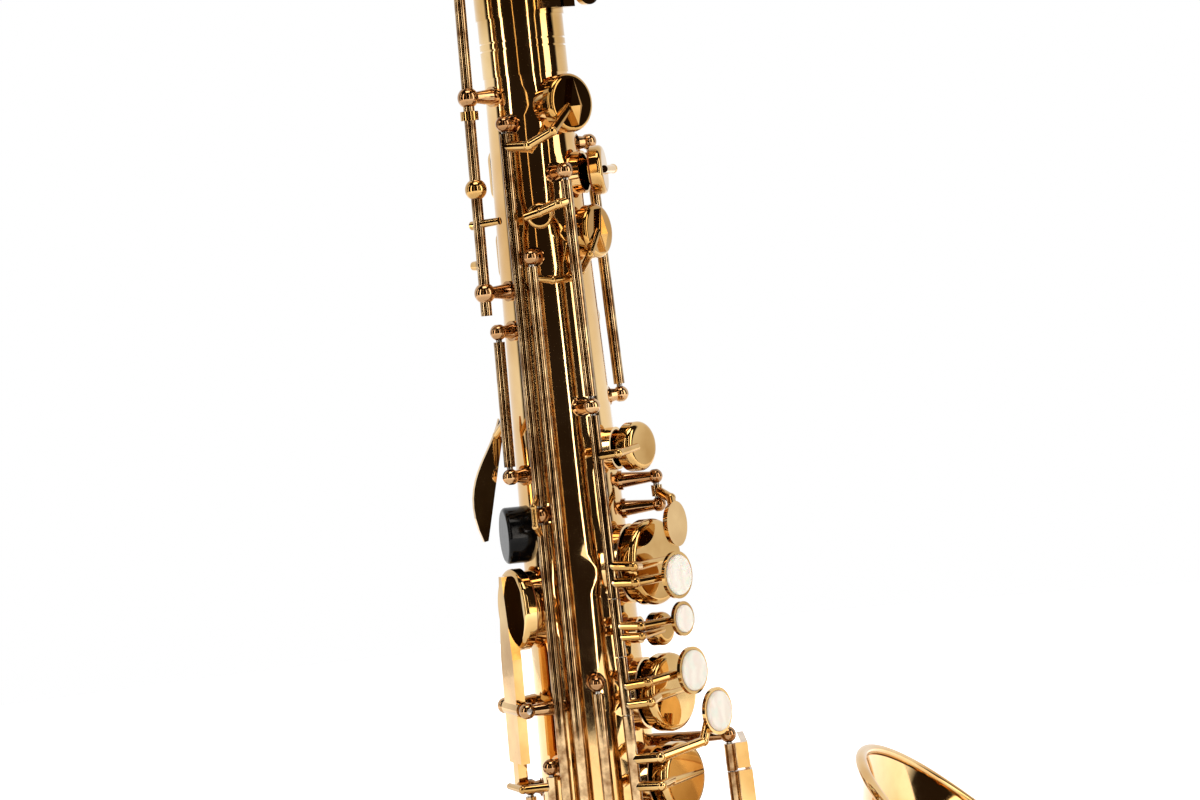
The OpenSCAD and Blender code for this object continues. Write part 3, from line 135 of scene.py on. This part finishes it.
def lacquerBrass(name, clean="#efcd93", deep="#c99d5a", spots=0.70, rough=0.05, hinge=None):
    # clouds between two golds, dark spots over them, rose on the key tube, haze in the roughness
    m, tree, shader, coords = newMaterial(name, Metallic=1.0, Coat_Weight=0.15, Coat_Roughness=0.03)
    cloud = addNode(tree, "ShaderNodeTexNoise", {"Vector": coords, "Scale": perMm(brassWear["cloud"]),
                                                 "Detail": 4.0})
    cloud = addNode(tree, "ShaderNodeMapRange", {"Value": cloud, "From Min": 0.36, "From Max": 0.66})
    colour = addNode(tree, "ShaderNodeMix", {0: cloud, 6: srgb(deep), 7: srgb(clean)}, 2, data_type="RGBA")
    spot = addNode(tree, "ShaderNodeTexNoise", {"Vector": coords, "Scale": perMm(brassWear["spot"]),
                                                "Detail": 5.0, "Roughness": 0.7})
    spot = addNode(tree, "ShaderNodeMapRange", {"Value": spot, "From Min": spots, "To Max": brassWear["spotDepth"],
                                                "From Max": spots + brassWear["spotEdge"]})
    colour = addNode(tree, "ShaderNodeMix", {0: spot, 6: colour, 7: srgb(brassWear["spotTone"])}, 2,
                     data_type="RGBA")
    haze = addNode(tree, "ShaderNodeTexNoise", {"Vector": coords, "Scale": perMm(brassWear["haze"]),
                                                "Detail": 6.0, "Roughness": 0.7})
    haze = addNode(tree, "ShaderNodeMapRange", {"Value": haze, "From Min": 0.40, "From Max": 0.80,
                                                "To Min": rough, "To Max": rough + brassWear["hazeRough"]})
    if hinge is not None:
        rose = addNode(tree, "ShaderNodeTexNoise", {"Vector": coords, "Scale": perMm(brassWear["rose"]),
                                                    "Detail": 4.0, "Roughness": 0.6})
        rose = addNode(tree, "ShaderNodeMapRange", {"Value": rose, "From Min": 0.36, "From Max": 0.64})
        rose = addNode(tree, "ShaderNodeMix", {0: rose, 6: srgb(brassWear["roseDeep"]),
                                               7: srgb(brassWear["rosePale"])}, 2, data_type="RGBA")
        worn = hingeTube(tree, coords, *hinge)
        colour = addNode(tree, "ShaderNodeMix", {0: worn, 6: colour, 7: rose}, 2, data_type="RGBA")
    wave = addNode(tree, "ShaderNodeTexNoise", {"Vector": coords, "Scale": perMm(brassWear["wave"]),
                                                "Detail": 2.0})
    wave = addNode(tree, "ShaderNodeBump", {"Height": wave, "Strength": brassWear["waveStrength"],
                                            "Distance": brassWear["waveHeight"]})
    tree.links.new(colour, shader.inputs["Base Color"])
    tree.links.new(haze, shader.inputs["Roughness"])
    tree.links.new(wave, shader.inputs["Normal"])
    return m


brass = lacquerBrass("lacquered_brass_spun")
bodyBrass = lacquerBrass("lacquered_brass_drawn_tube", "#efcb92", "#d8ab6c", 0.72, 0.04)
postBrass = lacquerBrass("lacquered_brass_turned", "#d3ab7c", "#976b42", 0.66, 0.06)

# Steel: turned hinge rods, grey with a fine oil haze.
steelLook = {"oil": 1.2, "dark": "#77706a", "pale": "#c9c3bb"}
steel, tree, shader, coords = newMaterial("steel_turned", Metallic=1.0)
oil = addNode(tree, "ShaderNodeTexNoise", {"Vector": coords, "Scale": perMm(steelLook["oil"]), "Detail": 4.0})
oil = addNode(tree, "ShaderNodeMapRange", {"Value": oil, "From Min": 0.4, "From Max": 0.65})
colour = addNode(tree, "ShaderNodeMix", {0: oil, 6: srgb(steelLook["dark"]), 7: srgb(steelLook["pale"])}, 2,
                 data_type="RGBA")
rough = addNode(tree, "ShaderNodeMapRange", {"Value": oil, "To Min": 0.20, "To Max": 0.10})
tree.links.new(colour, shader.inputs["Base Color"])
tree.links.new(rough, shader.inputs["Roughness"])

# Mother of pearl: sawn and polished, milky with faint bands of rose and green.
pearlLook = {"band": 6.2, "patch": 4.0, "milk": "#f9f5ec", "rose": "#f2e9e0", "green": "#eaf0e6"}
pearl, tree, shader, coords = newMaterial("mother_of_pearl_sawn", Coat_Weight=0.8, Coat_Roughness=0.05,
                                          Subsurface_Weight=0.15, Subsurface_Scale=0.002)
band = addNode(tree, "ShaderNodeTexWave", {"Vector": coords, "Scale": perMm(pearlLook["band"]),
                                           "Distortion": 6.0, "Detail": 3.0}, "Fac")
colour = addNode(tree, "ShaderNodeMix", {0: band, 6: srgb(pearlLook["milk"]), 7: srgb(pearlLook["rose"])}, 2,
                 data_type="RGBA")
patch = addNode(tree, "ShaderNodeTexNoise", {"Vector": coords, "Scale": perMm(pearlLook["patch"]), "Detail": 3.0})
patch = addNode(tree, "ShaderNodeMapRange", {"Value": patch, "From Min": 0.5, "From Max": 0.7})
colour = addNode(tree, "ShaderNodeMix", {0: patch, 6: colour, 7: srgb(pearlLook["green"])}, 2, data_type="RGBA")
rough = addNode(tree, "ShaderNodeMapRange", {"Value": band, "To Min": 0.12, "To Max": 0.26})
tree.links.new(colour, shader.inputs["Base Color"])
tree.links.new(rough, shader.inputs["Roughness"])

# Hard rubber: moulded and polished, near black with faint dull scuffs.
rubberLook = {"scuff": 2.5, "dark": "#050506", "pale": "#101113"}
rubber, tree, shader, coords = newMaterial("hard_rubber_moulded", Specular_IOR_Level=0.14)
scuff = addNode(tree, "ShaderNodeTexNoise", {"Vector": coords, "Scale": perMm(rubberLook["scuff"]), "Detail": 5.0})
scuff = addNode(tree, "ShaderNodeMapRange", {"Value": scuff, "From Min": 0.40, "From Max": 0.75})
colour = addNode(tree, "ShaderNodeMix", {0: scuff, 6: srgb(rubberLook["dark"]), 7: srgb(rubberLook["pale"])}, 2,
                 data_type="RGBA")
rough = addNode(tree, "ShaderNodeMapRange", {"Value": scuff, "To Min": 0.08, "To Max": 0.20})
tree.links.new(colour, shader.inputs["Base Color"])
tree.links.new(rough, shader.inputs["Roughness"])

# Cork: sanded sheet cork, warm tan with dark pores.
corkLook = {"pore": 1.2, "dark": "#6d4726", "pale": "#c69a63", "depth": 0.0003}
cork, tree, shader, coords = newMaterial("cork_sanded", Roughness=0.75)
pore = addNode(tree, "ShaderNodeTexNoise", {"Vector": coords, "Scale": perMm(corkLook["pore"]), "Detail": 6.0,
                                            "Roughness": 0.75})
pore = addNode(tree, "ShaderNodeMapRange", {"Value": pore, "From Min": 0.32, "From Max": 0.60})
colour = addNode(tree, "ShaderNodeMix", {0: pore, 6: srgb(corkLook["dark"]), 7: srgb(corkLook["pale"])}, 2,
                 data_type="RGBA")
bump = addNode(tree, "ShaderNodeBump", {"Height": pore, "Strength": 0.35, "Distance": corkLook["depth"]})
tree.links.new(colour, shader.inputs["Base Color"])
tree.links.new(bump, shader.inputs["Normal"])

# Cane: planed reed, straw with fine fibres along its length.
caneLook = {"fibreLong": 17.0, "fibreWide": 0.3, "fibreDeep": 2.0, "dark": "#b28d4c", "pale": "#e2c88a"}
cane, tree, shader, coords = newMaterial("cane_planed", Roughness=0.55)
fibreScale = tuple(perMm(caneLook[k]) for k in ("fibreLong", "fibreWide", "fibreDeep"))
fibre = addNode(tree, "ShaderNodeMapping", {"Vector": coords, "Scale": fibreScale})
fibre = addNode(tree, "ShaderNodeTexNoise", {"Vector": fibre, "Scale": 1.0, "Detail": 3.0})
fibre = addNode(tree, "ShaderNodeMapRange", {"Value": fibre, "From Min": 0.35, "From Max": 0.65})
colour = addNode(tree, "ShaderNodeMix", {0: fibre, 6: srgb(caneLook["dark"]), 7: srgb(caneLook["pale"])}, 2,
                 data_type="RGBA")
tree.links.new(colour, shader.inputs["Base Color"])

# Felt: pressed wool, dark red with a soft nap.
feltLook = {"nap": 0.35, "dark": "#4a100d", "pale": "#8a2a22", "depth": 0.0003}
felt, tree, shader, coords = newMaterial("felt_pressed", Roughness=0.95, Sheen_Weight=0.6, Sheen_Roughness=0.5)
nap = addNode(tree, "ShaderNodeTexNoise", {"Vector": coords, "Scale": perMm(feltLook["nap"]), "Detail": 5.0,
                                           "Roughness": 0.7})
nap = addNode(tree, "ShaderNodeMapRange", {"Value": nap, "From Min": 0.35, "From Max": 0.70})
colour = addNode(tree, "ShaderNodeMix", {0: nap, 6: srgb(feltLook["dark"]), 7: srgb(feltLook["pale"])}, 2,
                 data_type="RGBA")
bump = addNode(tree, "ShaderNodeBump", {"Height": nap, "Strength": 0.5, "Distance": feltLook["depth"]})
tree.links.new(colour, shader.inputs["Base Color"])
tree.links.new(bump, shader.inputs["Normal"])

# Leather: tanned pad skin, orange brown with fine pores.
leatherLook = {"tone": 3.0, "pore": 0.38, "dark": "#8c3d14", "pale": "#cf7230", "depth": 0.0002}
leather, tree, shader, coords = newMaterial("leather_tanned", Roughness=0.5, Sheen_Weight=0.1)
tone = addNode(tree, "ShaderNodeTexNoise", {"Vector": coords, "Scale": perMm(leatherLook["tone"]), "Detail": 5.0,
                                            "Roughness": 0.65})
tone = addNode(tree, "ShaderNodeMapRange", {"Value": tone, "From Min": 0.35, "From Max": 0.68})
colour = addNode(tree, "ShaderNodeMix", {0: tone, 6: srgb(leatherLook["dark"]), 7: srgb(leatherLook["pale"])}, 2,
                 data_type="RGBA")
pore = addNode(tree, "ShaderNodeTexVoronoi", {"Vector": coords, "Scale": perMm(leatherLook["pore"])}, "Distance")
bump = addNode(tree, "ShaderNodeBump", {"Height": pore, "Strength": 0.3, "Distance": leatherLook["depth"]})
tree.links.new(colour, shader.inputs["Base Color"])
tree.links.new(bump, shader.inputs["Normal"])

hingeOf = {j["child"]: j for j in frame["joints"] if j["type"] == "hinge" and "stiffness" in j}
keyMaterials = {}


def keyMaterial(body):
    # lacquered brass of one key, worn along its own hinge line
    if body not in keyMaterials:
        hinge = hingeOf[body]
        keyMaterials[body] = lacquerBrass("lacquered_brass_key_" + body, "#e9c383", "#b48746", 0.69, 0.03,
                                          (hinge["pos_m"], hinge["axis"]))
    return keyMaterials[body]


plain = {"neck_cork": cork, "reed": cane, "guard_bumpers": felt, "thumb_rest": rubber, "mouthpiece": rubber,
         "hinge_rods": steel, "body_tube": bodyBrass, "bow": bodyBrass, "bell": bodyBrass,
         "neck_tube": bodyBrass, "key_posts": postBrass, "neck_posts": postBrass}
for name, body in bodyOf.items():
    if name in plain:
        finish = plain[name]
    elif name.endswith("pearl"):
        finish = pearl
    elif body in hingeOf:
        finish = keyMaterial(body)
    else:
        finish = brass
    mesh = nodes[name].data
    mesh.materials.clear()
    mesh.materials.append(finish)
print("stage: materials on the CAD nodes")

surface = {"merge": 1e-7, "sharp": 38.0}


def addPiece(name, surfaces, material, body, keep=None):
    # each surface is a grid of points, rows by columns, closed round its columns; keep tells which faces stay.
    # Points that meet are merged, which closes poles and seams, and the faces are then turned outwards.
    verts, faces, start = [], [], 0
    for grid in surfaces:
        rows, cols = grid.shape[:2]
        index = start + np.arange(rows * cols).reshape(rows, cols)
        nextCol = np.roll(index, -1, axis=1)
        verts.append(grid.reshape(-1, 3))
        faces.append(np.stack([index[:-1], nextCol[:-1], nextCol[1:], index[1:]], axis=-1).reshape(-1, 4))
        start += rows * cols
    verts, faces = np.concatenate(verts), np.concatenate(faces)
    if keep is not None:
        faces = faces[keep(verts[faces].mean(axis=1))]
    used, faces = np.unique(faces, return_inverse=True)
    mesh = bpy.data.meshes.new(name)
    mesh.from_pydata(verts[used].tolist(), [], faces.reshape(-1, 4).tolist())
    b = bmesh.new()
    b.from_mesh(mesh)
    bmesh.ops.remove_doubles(b, verts=b.verts, dist=surface["merge"])
    bmesh.ops.recalc_face_normals(b, faces=b.faces)
    b.to_mesh(mesh)
    b.free()
    mesh.polygons.foreach_set("use_smooth", np.ones(len(mesh.polygons), dtype=bool))
    mesh.set_sharp_from_angle(angle=math.radians(surface["sharp"]))
    mesh.materials.append(material)
    piece = bpy.data.objects.new(name, mesh)
    scene.collection.objects.link(piece)
    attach(piece, body)
    return piece


def lathe(profile, centre, axis, cols=64):
    # turned form: each profile point (radius, way along the axis) swept once round the axis
    axis = np.array(axis) / np.linalg.norm(axis)
    side = np.cross(axis, [0.3, 0.9, 0.2])  # any direction off the axis will do
    side /= np.linalg.norm(side)
    other = np.cross(axis, side)
    turn = np.linspace(0, 2 * np.pi, cols, endpoint=False)
    rim = np.cos(turn)[:, None] * side + np.sin(turn)[:, None] * other
    return np.array(centre) + profile[:, :1, None] * rim[None] + (profile[:, 1:, None] * axis[None, None])


def islands(name):
    # solids of a node: corners welded by place, then joined along the edges until the labels settle
    mesh = nodes[name].data
    co = np.empty(len(mesh.vertices) * 3)
    mesh.vertices.foreach_get("co", co)
    place = np.array(nodes[name].matrix_world)
    co = co.reshape(-1, 3) @ place[:3, :3].T + place[:3, 3]
    corner, weld = np.unique(np.round(co * 1e6).astype(np.int64), axis=0, return_inverse=True)
    edge = np.empty(len(mesh.edges) * 2, dtype=np.int64)
    mesh.edges.foreach_get("vertices", edge)
    edge = weld.reshape(-1)[edge].reshape(-1, 2)
    label = np.arange(len(corner))
    while True:
        low = np.minimum(label[edge[:, 0]], label[edge[:, 1]])
        settled = label.copy()
        np.minimum.at(settled, edge[:, 0], low)
        np.minimum.at(settled, edge[:, 1], low)
        settled = settled[settled]
        if (settled == label).all():
            return [corner[label == k] / 1e6 for k in np.unique(label)]
        label = settled


def disc(points):
    # centre, axis, radius and thickness of a round plate: the axis is the direction of least spread
    middle = points.mean(axis=0)
    axis = np.linalg.eigh(np.cov((points - middle).T))[1][:, 0]
    along = (points - middle) @ axis
    centre = middle + axis * 0.5 * (along.min() + along.max())
    away = np.linalg.norm(np.cross(points - centre, axis), axis=1)
    return centre, axis, away.max(), along.max() - along.min()


def within(points, centre, axis, radius):
    # the points nearer than radius to the line through centre along axis
    return points[np.linalg.norm(np.cross(points - centre, axis), axis=1) < radius]


# Pads: leather skins over the pads of the keys, soft at the edge, with the ring that the tone hole presses in.
# The pads are found as the round plates of this thickness among the solids of a key.
padSkin = {"thick": 0.0018, "slack": 0.0001, "crown": 0.00010, "lift": 0.00004, "dent": 0.00003, "seat": 0.90,
           "seatWidth": 0.05, "edge": 0.0005, "bulge": 0.00018, "skirt": 0.00004, "skirtTop": 0.00068,
           "skirtEnd": 0.0010, "fill": 0.9}
padCount = 0
for name in sorted(bodyOf):
    if not name.endswith("_key") or name == "front_f_key":
        continue
    solids = islands(name)
    skins = []
    for points in solids:
        centre, axis, radius, thick = disc(points)
        if abs(thick - padSkin["thick"]) > padSkin["slack"] or len(solids) < 2:
            continue
        rest = np.concatenate([q for q in solids if q is not points])
        cup = within(rest, centre, axis, radius * 1.2)
        if ((cup - centre) @ axis).mean() > 0:  # the skin faces away from its cup
            axis = -axis
        face, shoulder = 0.5 * thick, radius - padSkin["edge"]
        t = np.linspace(0.0, 1.0, 12)
        flat = t * shoulder
        seat = np.exp(-((flat / radius - padSkin["seat"]) / padSkin["seatWidth"]) ** 2)
        rise = face + padSkin["lift"] + padSkin["crown"] * (1 - t ** 2) - padSkin["dent"] * seat
        t = np.linspace(0.2, 1.0, 6) * 0.5 * np.pi
        rounded = np.column_stack([shoulder + (padSkin["edge"] + padSkin["bulge"]) * np.sin(t),
                                   face + padSkin["lift"] - padSkin["edge"] * (1 - np.cos(t))])
        skirt = [(radius + padSkin["skirt"], face - padSkin["skirtTop"]),
                 (radius + padSkin["skirt"], face - padSkin["skirtEnd"]), (0.0, face - padSkin["skirtEnd"])]
        skins.append(lathe(np.concatenate([np.column_stack([flat, rise]), rounded, skirt]), centre, axis))
    if skins:
        pad = addPiece(name.replace("_key", "_pads"), skins, leather, bodyOf[name])
        padCount += len(skins)
print("stage: pads,", padCount)

# Ridges: the raised kites on the high E and side C cups, four flat slopes from a peak down to the cup.
# Lengths along and across are shares of the cup radius.
ridge = {"long": 0.80, "wide": 0.26, "belly": 0.15, "crest": 0.0010, "sink": 0.00055, "root": 0.0004,
         "cupRim": 0.0008}
for name in ("high_e_key", "side_c_key"):
    solids = islands(name)
    centre, axis, radius, thick = min((disc(q) for q in solids), key=lambda d: abs(d[3] - padSkin["thick"]))
    cup = within(np.concatenate(solids), centre, axis, radius)
    if ((cup - centre) @ axis).mean() < 0:
        axis = -axis
    up = np.array([0.0, 0.0, 1.0]) - axis[2] * axis
    up /= np.linalg.norm(up)
    side = np.cross(up, axis)
    top = ((cup - centre) @ axis).max()
    cupRadius = radius + ridge["cupRim"]
    kite = np.array([(ridge["long"], 0.0), (-ridge["belly"], ridge["wide"]), (-ridge["long"], 0.0),
                     (-ridge["belly"], -ridge["wide"])]) * cupRadius
    low = centre + axis * (top - ridge["sink"]) + kite[:, :1] * up + kite[:, 1:] * side
    base = low - axis * ridge["root"]
    foot = np.repeat(base.mean(axis=0)[None], 4, axis=0)
    peak = centre + axis * (top + ridge["crest"]) - up * ridge["belly"] * cupRadius
    slopes = np.stack([foot, base, low, np.repeat(peak[None], 4, axis=0)])
    piece = addPiece(name.replace("_key", "_ridge"), [slopes], keyMaterial(bodyOf[name]), bodyOf[name])
    piece.data.polygons.foreach_set("use_smooth", np.zeros(len(piece.data.polygons), dtype=bool))

# Bumpers: pressed felt buttons of the bell key guard, round shouldered and a little domed.
bumper = {"shoulder": 0.0007, "dome": 0.0003, "cols": 48, "fill": 1.0}
buttons = []
for points in islands("guard_bumpers"):
    centre, axis, radius, thick = disc(points)
    half, s = 0.5 * thick, bumper["shoulder"]
    q = np.linspace(0, 1, 6)
    t = np.linspace(0.0, 0.5 * np.pi, 7)
    dome = np.column_stack([q * (radius - s), half - bumper["dome"] * q ** 2])
    rounded = np.column_stack([radius - s + s * np.sin(t), half - bumper["dome"] - s * (1 - np.cos(t))])
    top = np.concatenate([dome, rounded])
    buttons.append(lathe(np.concatenate([top, top[::-1] * [1, -1]]), centre, axis, bumper["cols"]))
bumpers = addPiece("guard_bumper_felts", buttons, felt, bodyOf["guard_bumpers"])
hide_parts("guard_bumpers")

# Neck: a tapering tube swept along an arc and a straight end, outside and bore, in millimetres and degrees.
neck = {"bend": 34.0, "turn": 80.0, "straight": 26.0, "low": 8.7, "fall": 2.6, "wall": 0.8, "foot": 298.9,
        "cols": 96}
turnEnd = math.radians(neck["turn"])
arc = np.linspace(0.0, turnEnd, 60)
run = np.linspace(0.0, neck["straight"], 12)[1:]
lean = np.concatenate([arc, np.full(len(run), turnEnd)])
past = np.concatenate([0 * arc, run])
cx = neck["bend"] * (np.cos(lean) - 1) - past * math.sin(turnEnd)
cz = neck["foot"] + neck["bend"] * np.sin(lean) + past * math.cos(turnEnd)
way = neck["bend"] * lean + past
outer = neck["low"] - neck["fall"] * way / way[-1]


def neckRings(radius, order):
    # circles square to the path: path point plus radius times cosine across the lean and sine sideways
    q = np.linspace(0, 2 * np.pi, neck["cols"], endpoint=False)[None]
    x = cx[order, None] + radius[order, None] * np.cos(q) * np.cos(lean[order, None])
    z = cz[order, None] + radius[order, None] * np.cos(q) * np.sin(lean[order, None])
    return np.stack([x, radius[order, None] * np.sin(q) + 0 * x, z], axis=-1)


order = np.arange(len(lean))
grid = np.concatenate([neckRings(outer, order), neckRings(outer - neck["wall"], order[::-1]),
                       neckRings(outer, order[:1])])
neckTube = addPiece("neck_tube_bent", [(grid - strapAt) / 1000.0], bodyBrass, bodyOf["neck_tube"])
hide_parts("neck_tube")
print("stage: felts and neck")

# Bell: a spun flare with a rolled wire rim, in millimetres and degrees. Its tone holes lie at a way along it,
# and side tells on which flank.
bell = {"length": 88.6, "rim": 47.0, "wire": 1.5, "cone": 4.0, "power": 3.2, "wall": 0.8, "bend": 24.0,
        "turn": 135.0, "cols": 280, "holeCut": 1.25}
bellHoles = [{"at": 15.0, "radius": 11.0, "top": 20.8, "side": -1.0},
             {"at": 41.0, "radius": 12.0, "top": 25.6, "side": -1.0},
             {"at": 14.5, "radius": 9.5, "top": 20.4, "side": 1.0}]
tilt = math.pi - math.radians(bell["turn"])
bellFoot = np.array([bell["bend"] * (1 + math.cos(tilt)), 0.0, -bell["bend"] * math.sin(tilt)])
along = np.array([math.sin(tilt), 0.0, math.cos(tilt)])
across = np.array([math.cos(tilt), 0.0, -math.sin(tilt)])
aside = np.array([0.0, 1.0, 0.0])


def bellRadius(s):
    # a straight cone plus a power of the way s to the rim
    u = s / bell["length"]
    cone = tube["lowRadius"] + bell["cone"] * u
    return cone + (bell["rim"] - bell["wire"] - tube["lowRadius"] - bell["cone"]) * u ** bell["power"]


def bellPoint(s, x, y):
    # way s along the bell, x across and y aside, put in the frame in metres
    return (bellFoot + s[..., None] * along + x[..., None] * across + y[..., None] * aside - strapAt) / 1000.0


def turned(s, r):
    # radius r at way s, swept once round the axis of the bell
    q = np.linspace(0, 2 * np.pi, bell["cols"], endpoint=False)[None]
    return bellPoint(s[:, None] + 0 * q, r[:, None] * np.cos(q), r[:, None] * np.sin(q))


def bellSheet(faceCentres):
    # faces that stay: those farther from each hole's axis than its cut, or on the other flank
    rel = faceCentres * 1000.0 + strapAt - bellFoot
    stays = np.ones(len(rel), dtype=bool)
    for hole in bellHoles:
        away = np.hypot(rel @ along - hole["at"], rel @ across)
        stays &= (away > hole["radius"] - bell["holeCut"]) | (rel @ aside * hole["side"] < 0)
    return stays


s = np.linspace(0.0, bell["length"], 120)
q = np.linspace(0, 2 * np.pi, 25)
wireRing = turned(bell["length"] + bell["wire"] * np.sin(q),
                  bell["rim"] - bell["wire"] + bell["wire"] * np.cos(q))
flare = turned(np.concatenate([s, s[::-1], s[:1]]),
               np.concatenate([bellRadius(s), bellRadius(s[::-1]) - bell["wall"], bellRadius(s[:1])]))
bellPiece = addPiece("bell_spun", [flare, wireRing], bodyBrass, bodyOf["bell"], bellSheet)
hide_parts("bell")

# Bell tone holes: drawn rims that stand on the flare, their feet following its skin, their tops bevelled.
holeRim = {"outside": 0.9, "inside": 1.6, "bevel": 0.2, "cols": 96}
q = np.linspace(0, 2 * np.pi, holeRim["cols"], endpoint=False)
rims = []
for hole in bellHoles:
    rows = []
    for inset, lift in ((holeRim["outside"], None), (holeRim["outside"], -holeRim["bevel"]),
                        (holeRim["outside"] + holeRim["bevel"], 0.0),
                        (holeRim["inside"] - holeRim["bevel"], 0.0),
                        (holeRim["inside"], -holeRim["bevel"]), (holeRim["inside"], None)):
        r = hole["radius"] - inset
        skin = bellRadius(hole["at"] + r * np.cos(q)) - 0.5 * bell["wall"]
        foot = np.sqrt(skin ** 2 - (r * np.sin(q)) ** 2)
        height = foot if lift is None else hole["top"] + lift + 0 * q
        rows.append(bellPoint(hole["at"] + r * np.cos(q), r * np.sin(q), hole["side"] * height))
    rims.append(np.stack(rows + rows[:1]))
addPiece("bell_hole_rims", rims, bodyBrass, bodyOf["bell"])
print("stage: bell")

# Camera: fitted to the receiver, the tube axis and the bell rim of the photograph. The tube at the height aim,
# in millimetres, stands shift pixels left of the middle of the picture.
view = {"azimuth": 11.0, "elevation": 3.0, "roll": 6.0, "distance": 0.900, "mmPerPixel": 0.268, "aim": 179.0,
        "shift": 40.0, "width": 1200.0, "sensor": 36.0}
a, e, r = (math.radians(view[k]) for k in ("azimuth", "elevation", "roll"))
right = Vector((math.cos(a), math.sin(a), 0.0))
back = Vector((math.sin(a) * math.cos(e), -math.cos(a) * math.cos(e), math.sin(e)))
up = back.cross(right)
camRight = right * math.cos(r) - up * math.sin(r)
camUp = right * math.sin(r) + up * math.cos(r)
aim = Vector((0.0, 0.0, view["aim"])) - Vector(strapAt)
aim = (aim + camRight * view["shift"] * view["mmPerPixel"]) / 1000.0
camera = bpy.data.objects.new("camera", bpy.data.cameras.new("camera"))
scene.collection.objects.link(camera)
turn = Matrix((camRight, camUp, back)).transposed()
camera.matrix_world = Matrix.Translation(aim + back * view["distance"]) @ turn.to_4x4()
camera.data.sensor_width = view["sensor"]
camera.data.lens = view["sensor"] * view["distance"] * 1000.0 / view["mmPerPixel"] / view["width"]
camera.data.clip_start = 0.05
camera.data.clip_end = 60.0
scene.camera = camera

# Paper floor: matt and pale, its glow rising outwards until it meets the white ground.
floorSheet = {"radius": 1.3, "below": 0.002, "near": 0.30, "far": 0.75, "glow": 0.42, "tooth": 400.0,
              "dark": "#f2f2f2", "pale": "#f6f6f6", "sides": 96}
turn = np.linspace(0, 2 * np.pi, floorSheet["sides"], endpoint=False)
edge = np.column_stack([floorSheet["radius"] * np.cos(turn), floorSheet["radius"] * np.sin(turn),
                        np.full(len(turn), cadBox[0].z - floorSheet["below"])])
mesh = bpy.data.meshes.new("floor")
mesh.from_pydata(edge.tolist(), [], [tuple(range(len(turn)))])
floor = bpy.data.objects.new("floor", mesh)
scene.collection.objects.link(floor)
paper, tree, shader, coords = newMaterial("paper_floor", Roughness=0.9, Emission_Color=srgb("#ffffff"))
away = addNode(tree, "ShaderNodeVectorMath", {0: coords}, out="Value", operation="LENGTH")
glow = addNode(tree, "ShaderNodeMapRange", {"Value": away, "From Min": floorSheet["near"],
                                            "From Max": floorSheet["far"], "To Min": floorSheet["glow"],
                                            "To Max": 1.0})
tooth = addNode(tree, "ShaderNodeTexNoise", {"Vector": coords, "Scale": perMm(floorSheet["tooth"]), "Detail": 3.0})
colour = addNode(tree, "ShaderNodeMix", {0: tooth, 6: srgb(floorSheet["dark"]), 7: srgb(floorSheet["pale"])}, 2,
                 data_type="RGBA")
tree.links.new(glow, shader.inputs["Emission Strength"])
tree.links.new(colour, shader.inputs["Base Color"])
mesh.materials.append(paper)

# Studio: white behind the object and dark round the camera, with tall softboxes, so that the metal shows
# bright and black bands. Lengths are in metres.
studio = {"centre": (0.03, 0.0, 0.12), "away": 1.6, "tall": 2.2, "tilt": 8.0, "dark": "#2a211b",
          "white": "#ffffff", "sideFrom": 0.09, "sideTo": 0.20}


def softbox(name, fromCamera, elevation, width, height, glow, tint="#fff6ea"):
    # stands at an angle to the right of the camera; its power is pi times its area times how bright its face is
    az, el = math.radians(view["azimuth"] + fromCamera), math.radians(elevation)
    away = Vector((math.sin(az) * math.cos(el), -math.cos(az) * math.cos(el), math.sin(el)))
    light = bpy.data.lights.new(name, "AREA")
    light.shape = "RECTANGLE"
    light.size, light.size_y = width, height
    light.energy = glow * math.pi * width * height
    light.color = srgb(tint)[:3]
    lamp = bpy.data.objects.new(name, light)
    scene.collection.objects.link(lamp)
    lamp.location = Vector(studio["centre"]) + away * studio["away"]
    lamp.rotation_euler = (-away).to_track_quat("-Z", "Y").to_euler()


softbox("left_strip", -50.0, studio["tilt"], 0.16, studio["tall"], 6.5)
softbox("left_edge_strip", -85.0, studio["tilt"], 0.07, studio["tall"], 6.0)
softbox("right_strip", 22.0, studio["tilt"], 0.08, studio["tall"], 7.0)
softbox("front_strip", -16.0, studio["tilt"], 0.045, studio["tall"], 2.2, "#ffd9a0")
softbox("far_right_strip", 41.0, studio["tilt"], 0.05, studio["tall"], 3.2, "#ffe2b4")
softbox("right_box", 66.0, studio["tilt"], 0.50, studio["tall"], 3.6)
softbox("top_box", 10.0, 72.0, 0.9, 0.6, 4.5)

world = bpy.data.worlds.new("studio")
world.use_nodes = True
tree = world.node_tree
backdrop = tree.nodes["Background"]
direction = addNode(tree, "ShaderNodeTexCoord", out="Generated")
behind = addNode(tree, "ShaderNodeVectorMath", {0: direction, 1: -back}, out="Value", operation="DOT_PRODUCT")
behind = addNode(tree, "ShaderNodeMapRange", {"Value": behind, "From Min": studio["sideFrom"],
                                              "From Max": studio["sideTo"]})
seen = addNode(tree, "ShaderNodeLightPath", out="Is Camera Ray")
white = addNode(tree, "ShaderNodeMath", {0: behind, 1: seen}, operation="MAXIMUM")
room = addNode(tree, "ShaderNodeMix", {0: white, 6: srgb(studio["dark"]), 7: srgb(studio["white"])}, 2,
               data_type="RGBA")
tree.links.new(room, backdrop.inputs["Color"])
scene.world = world
scene.view_settings.view_transform = "Standard"  # white stays white
print("stage: camera, floor and lights")
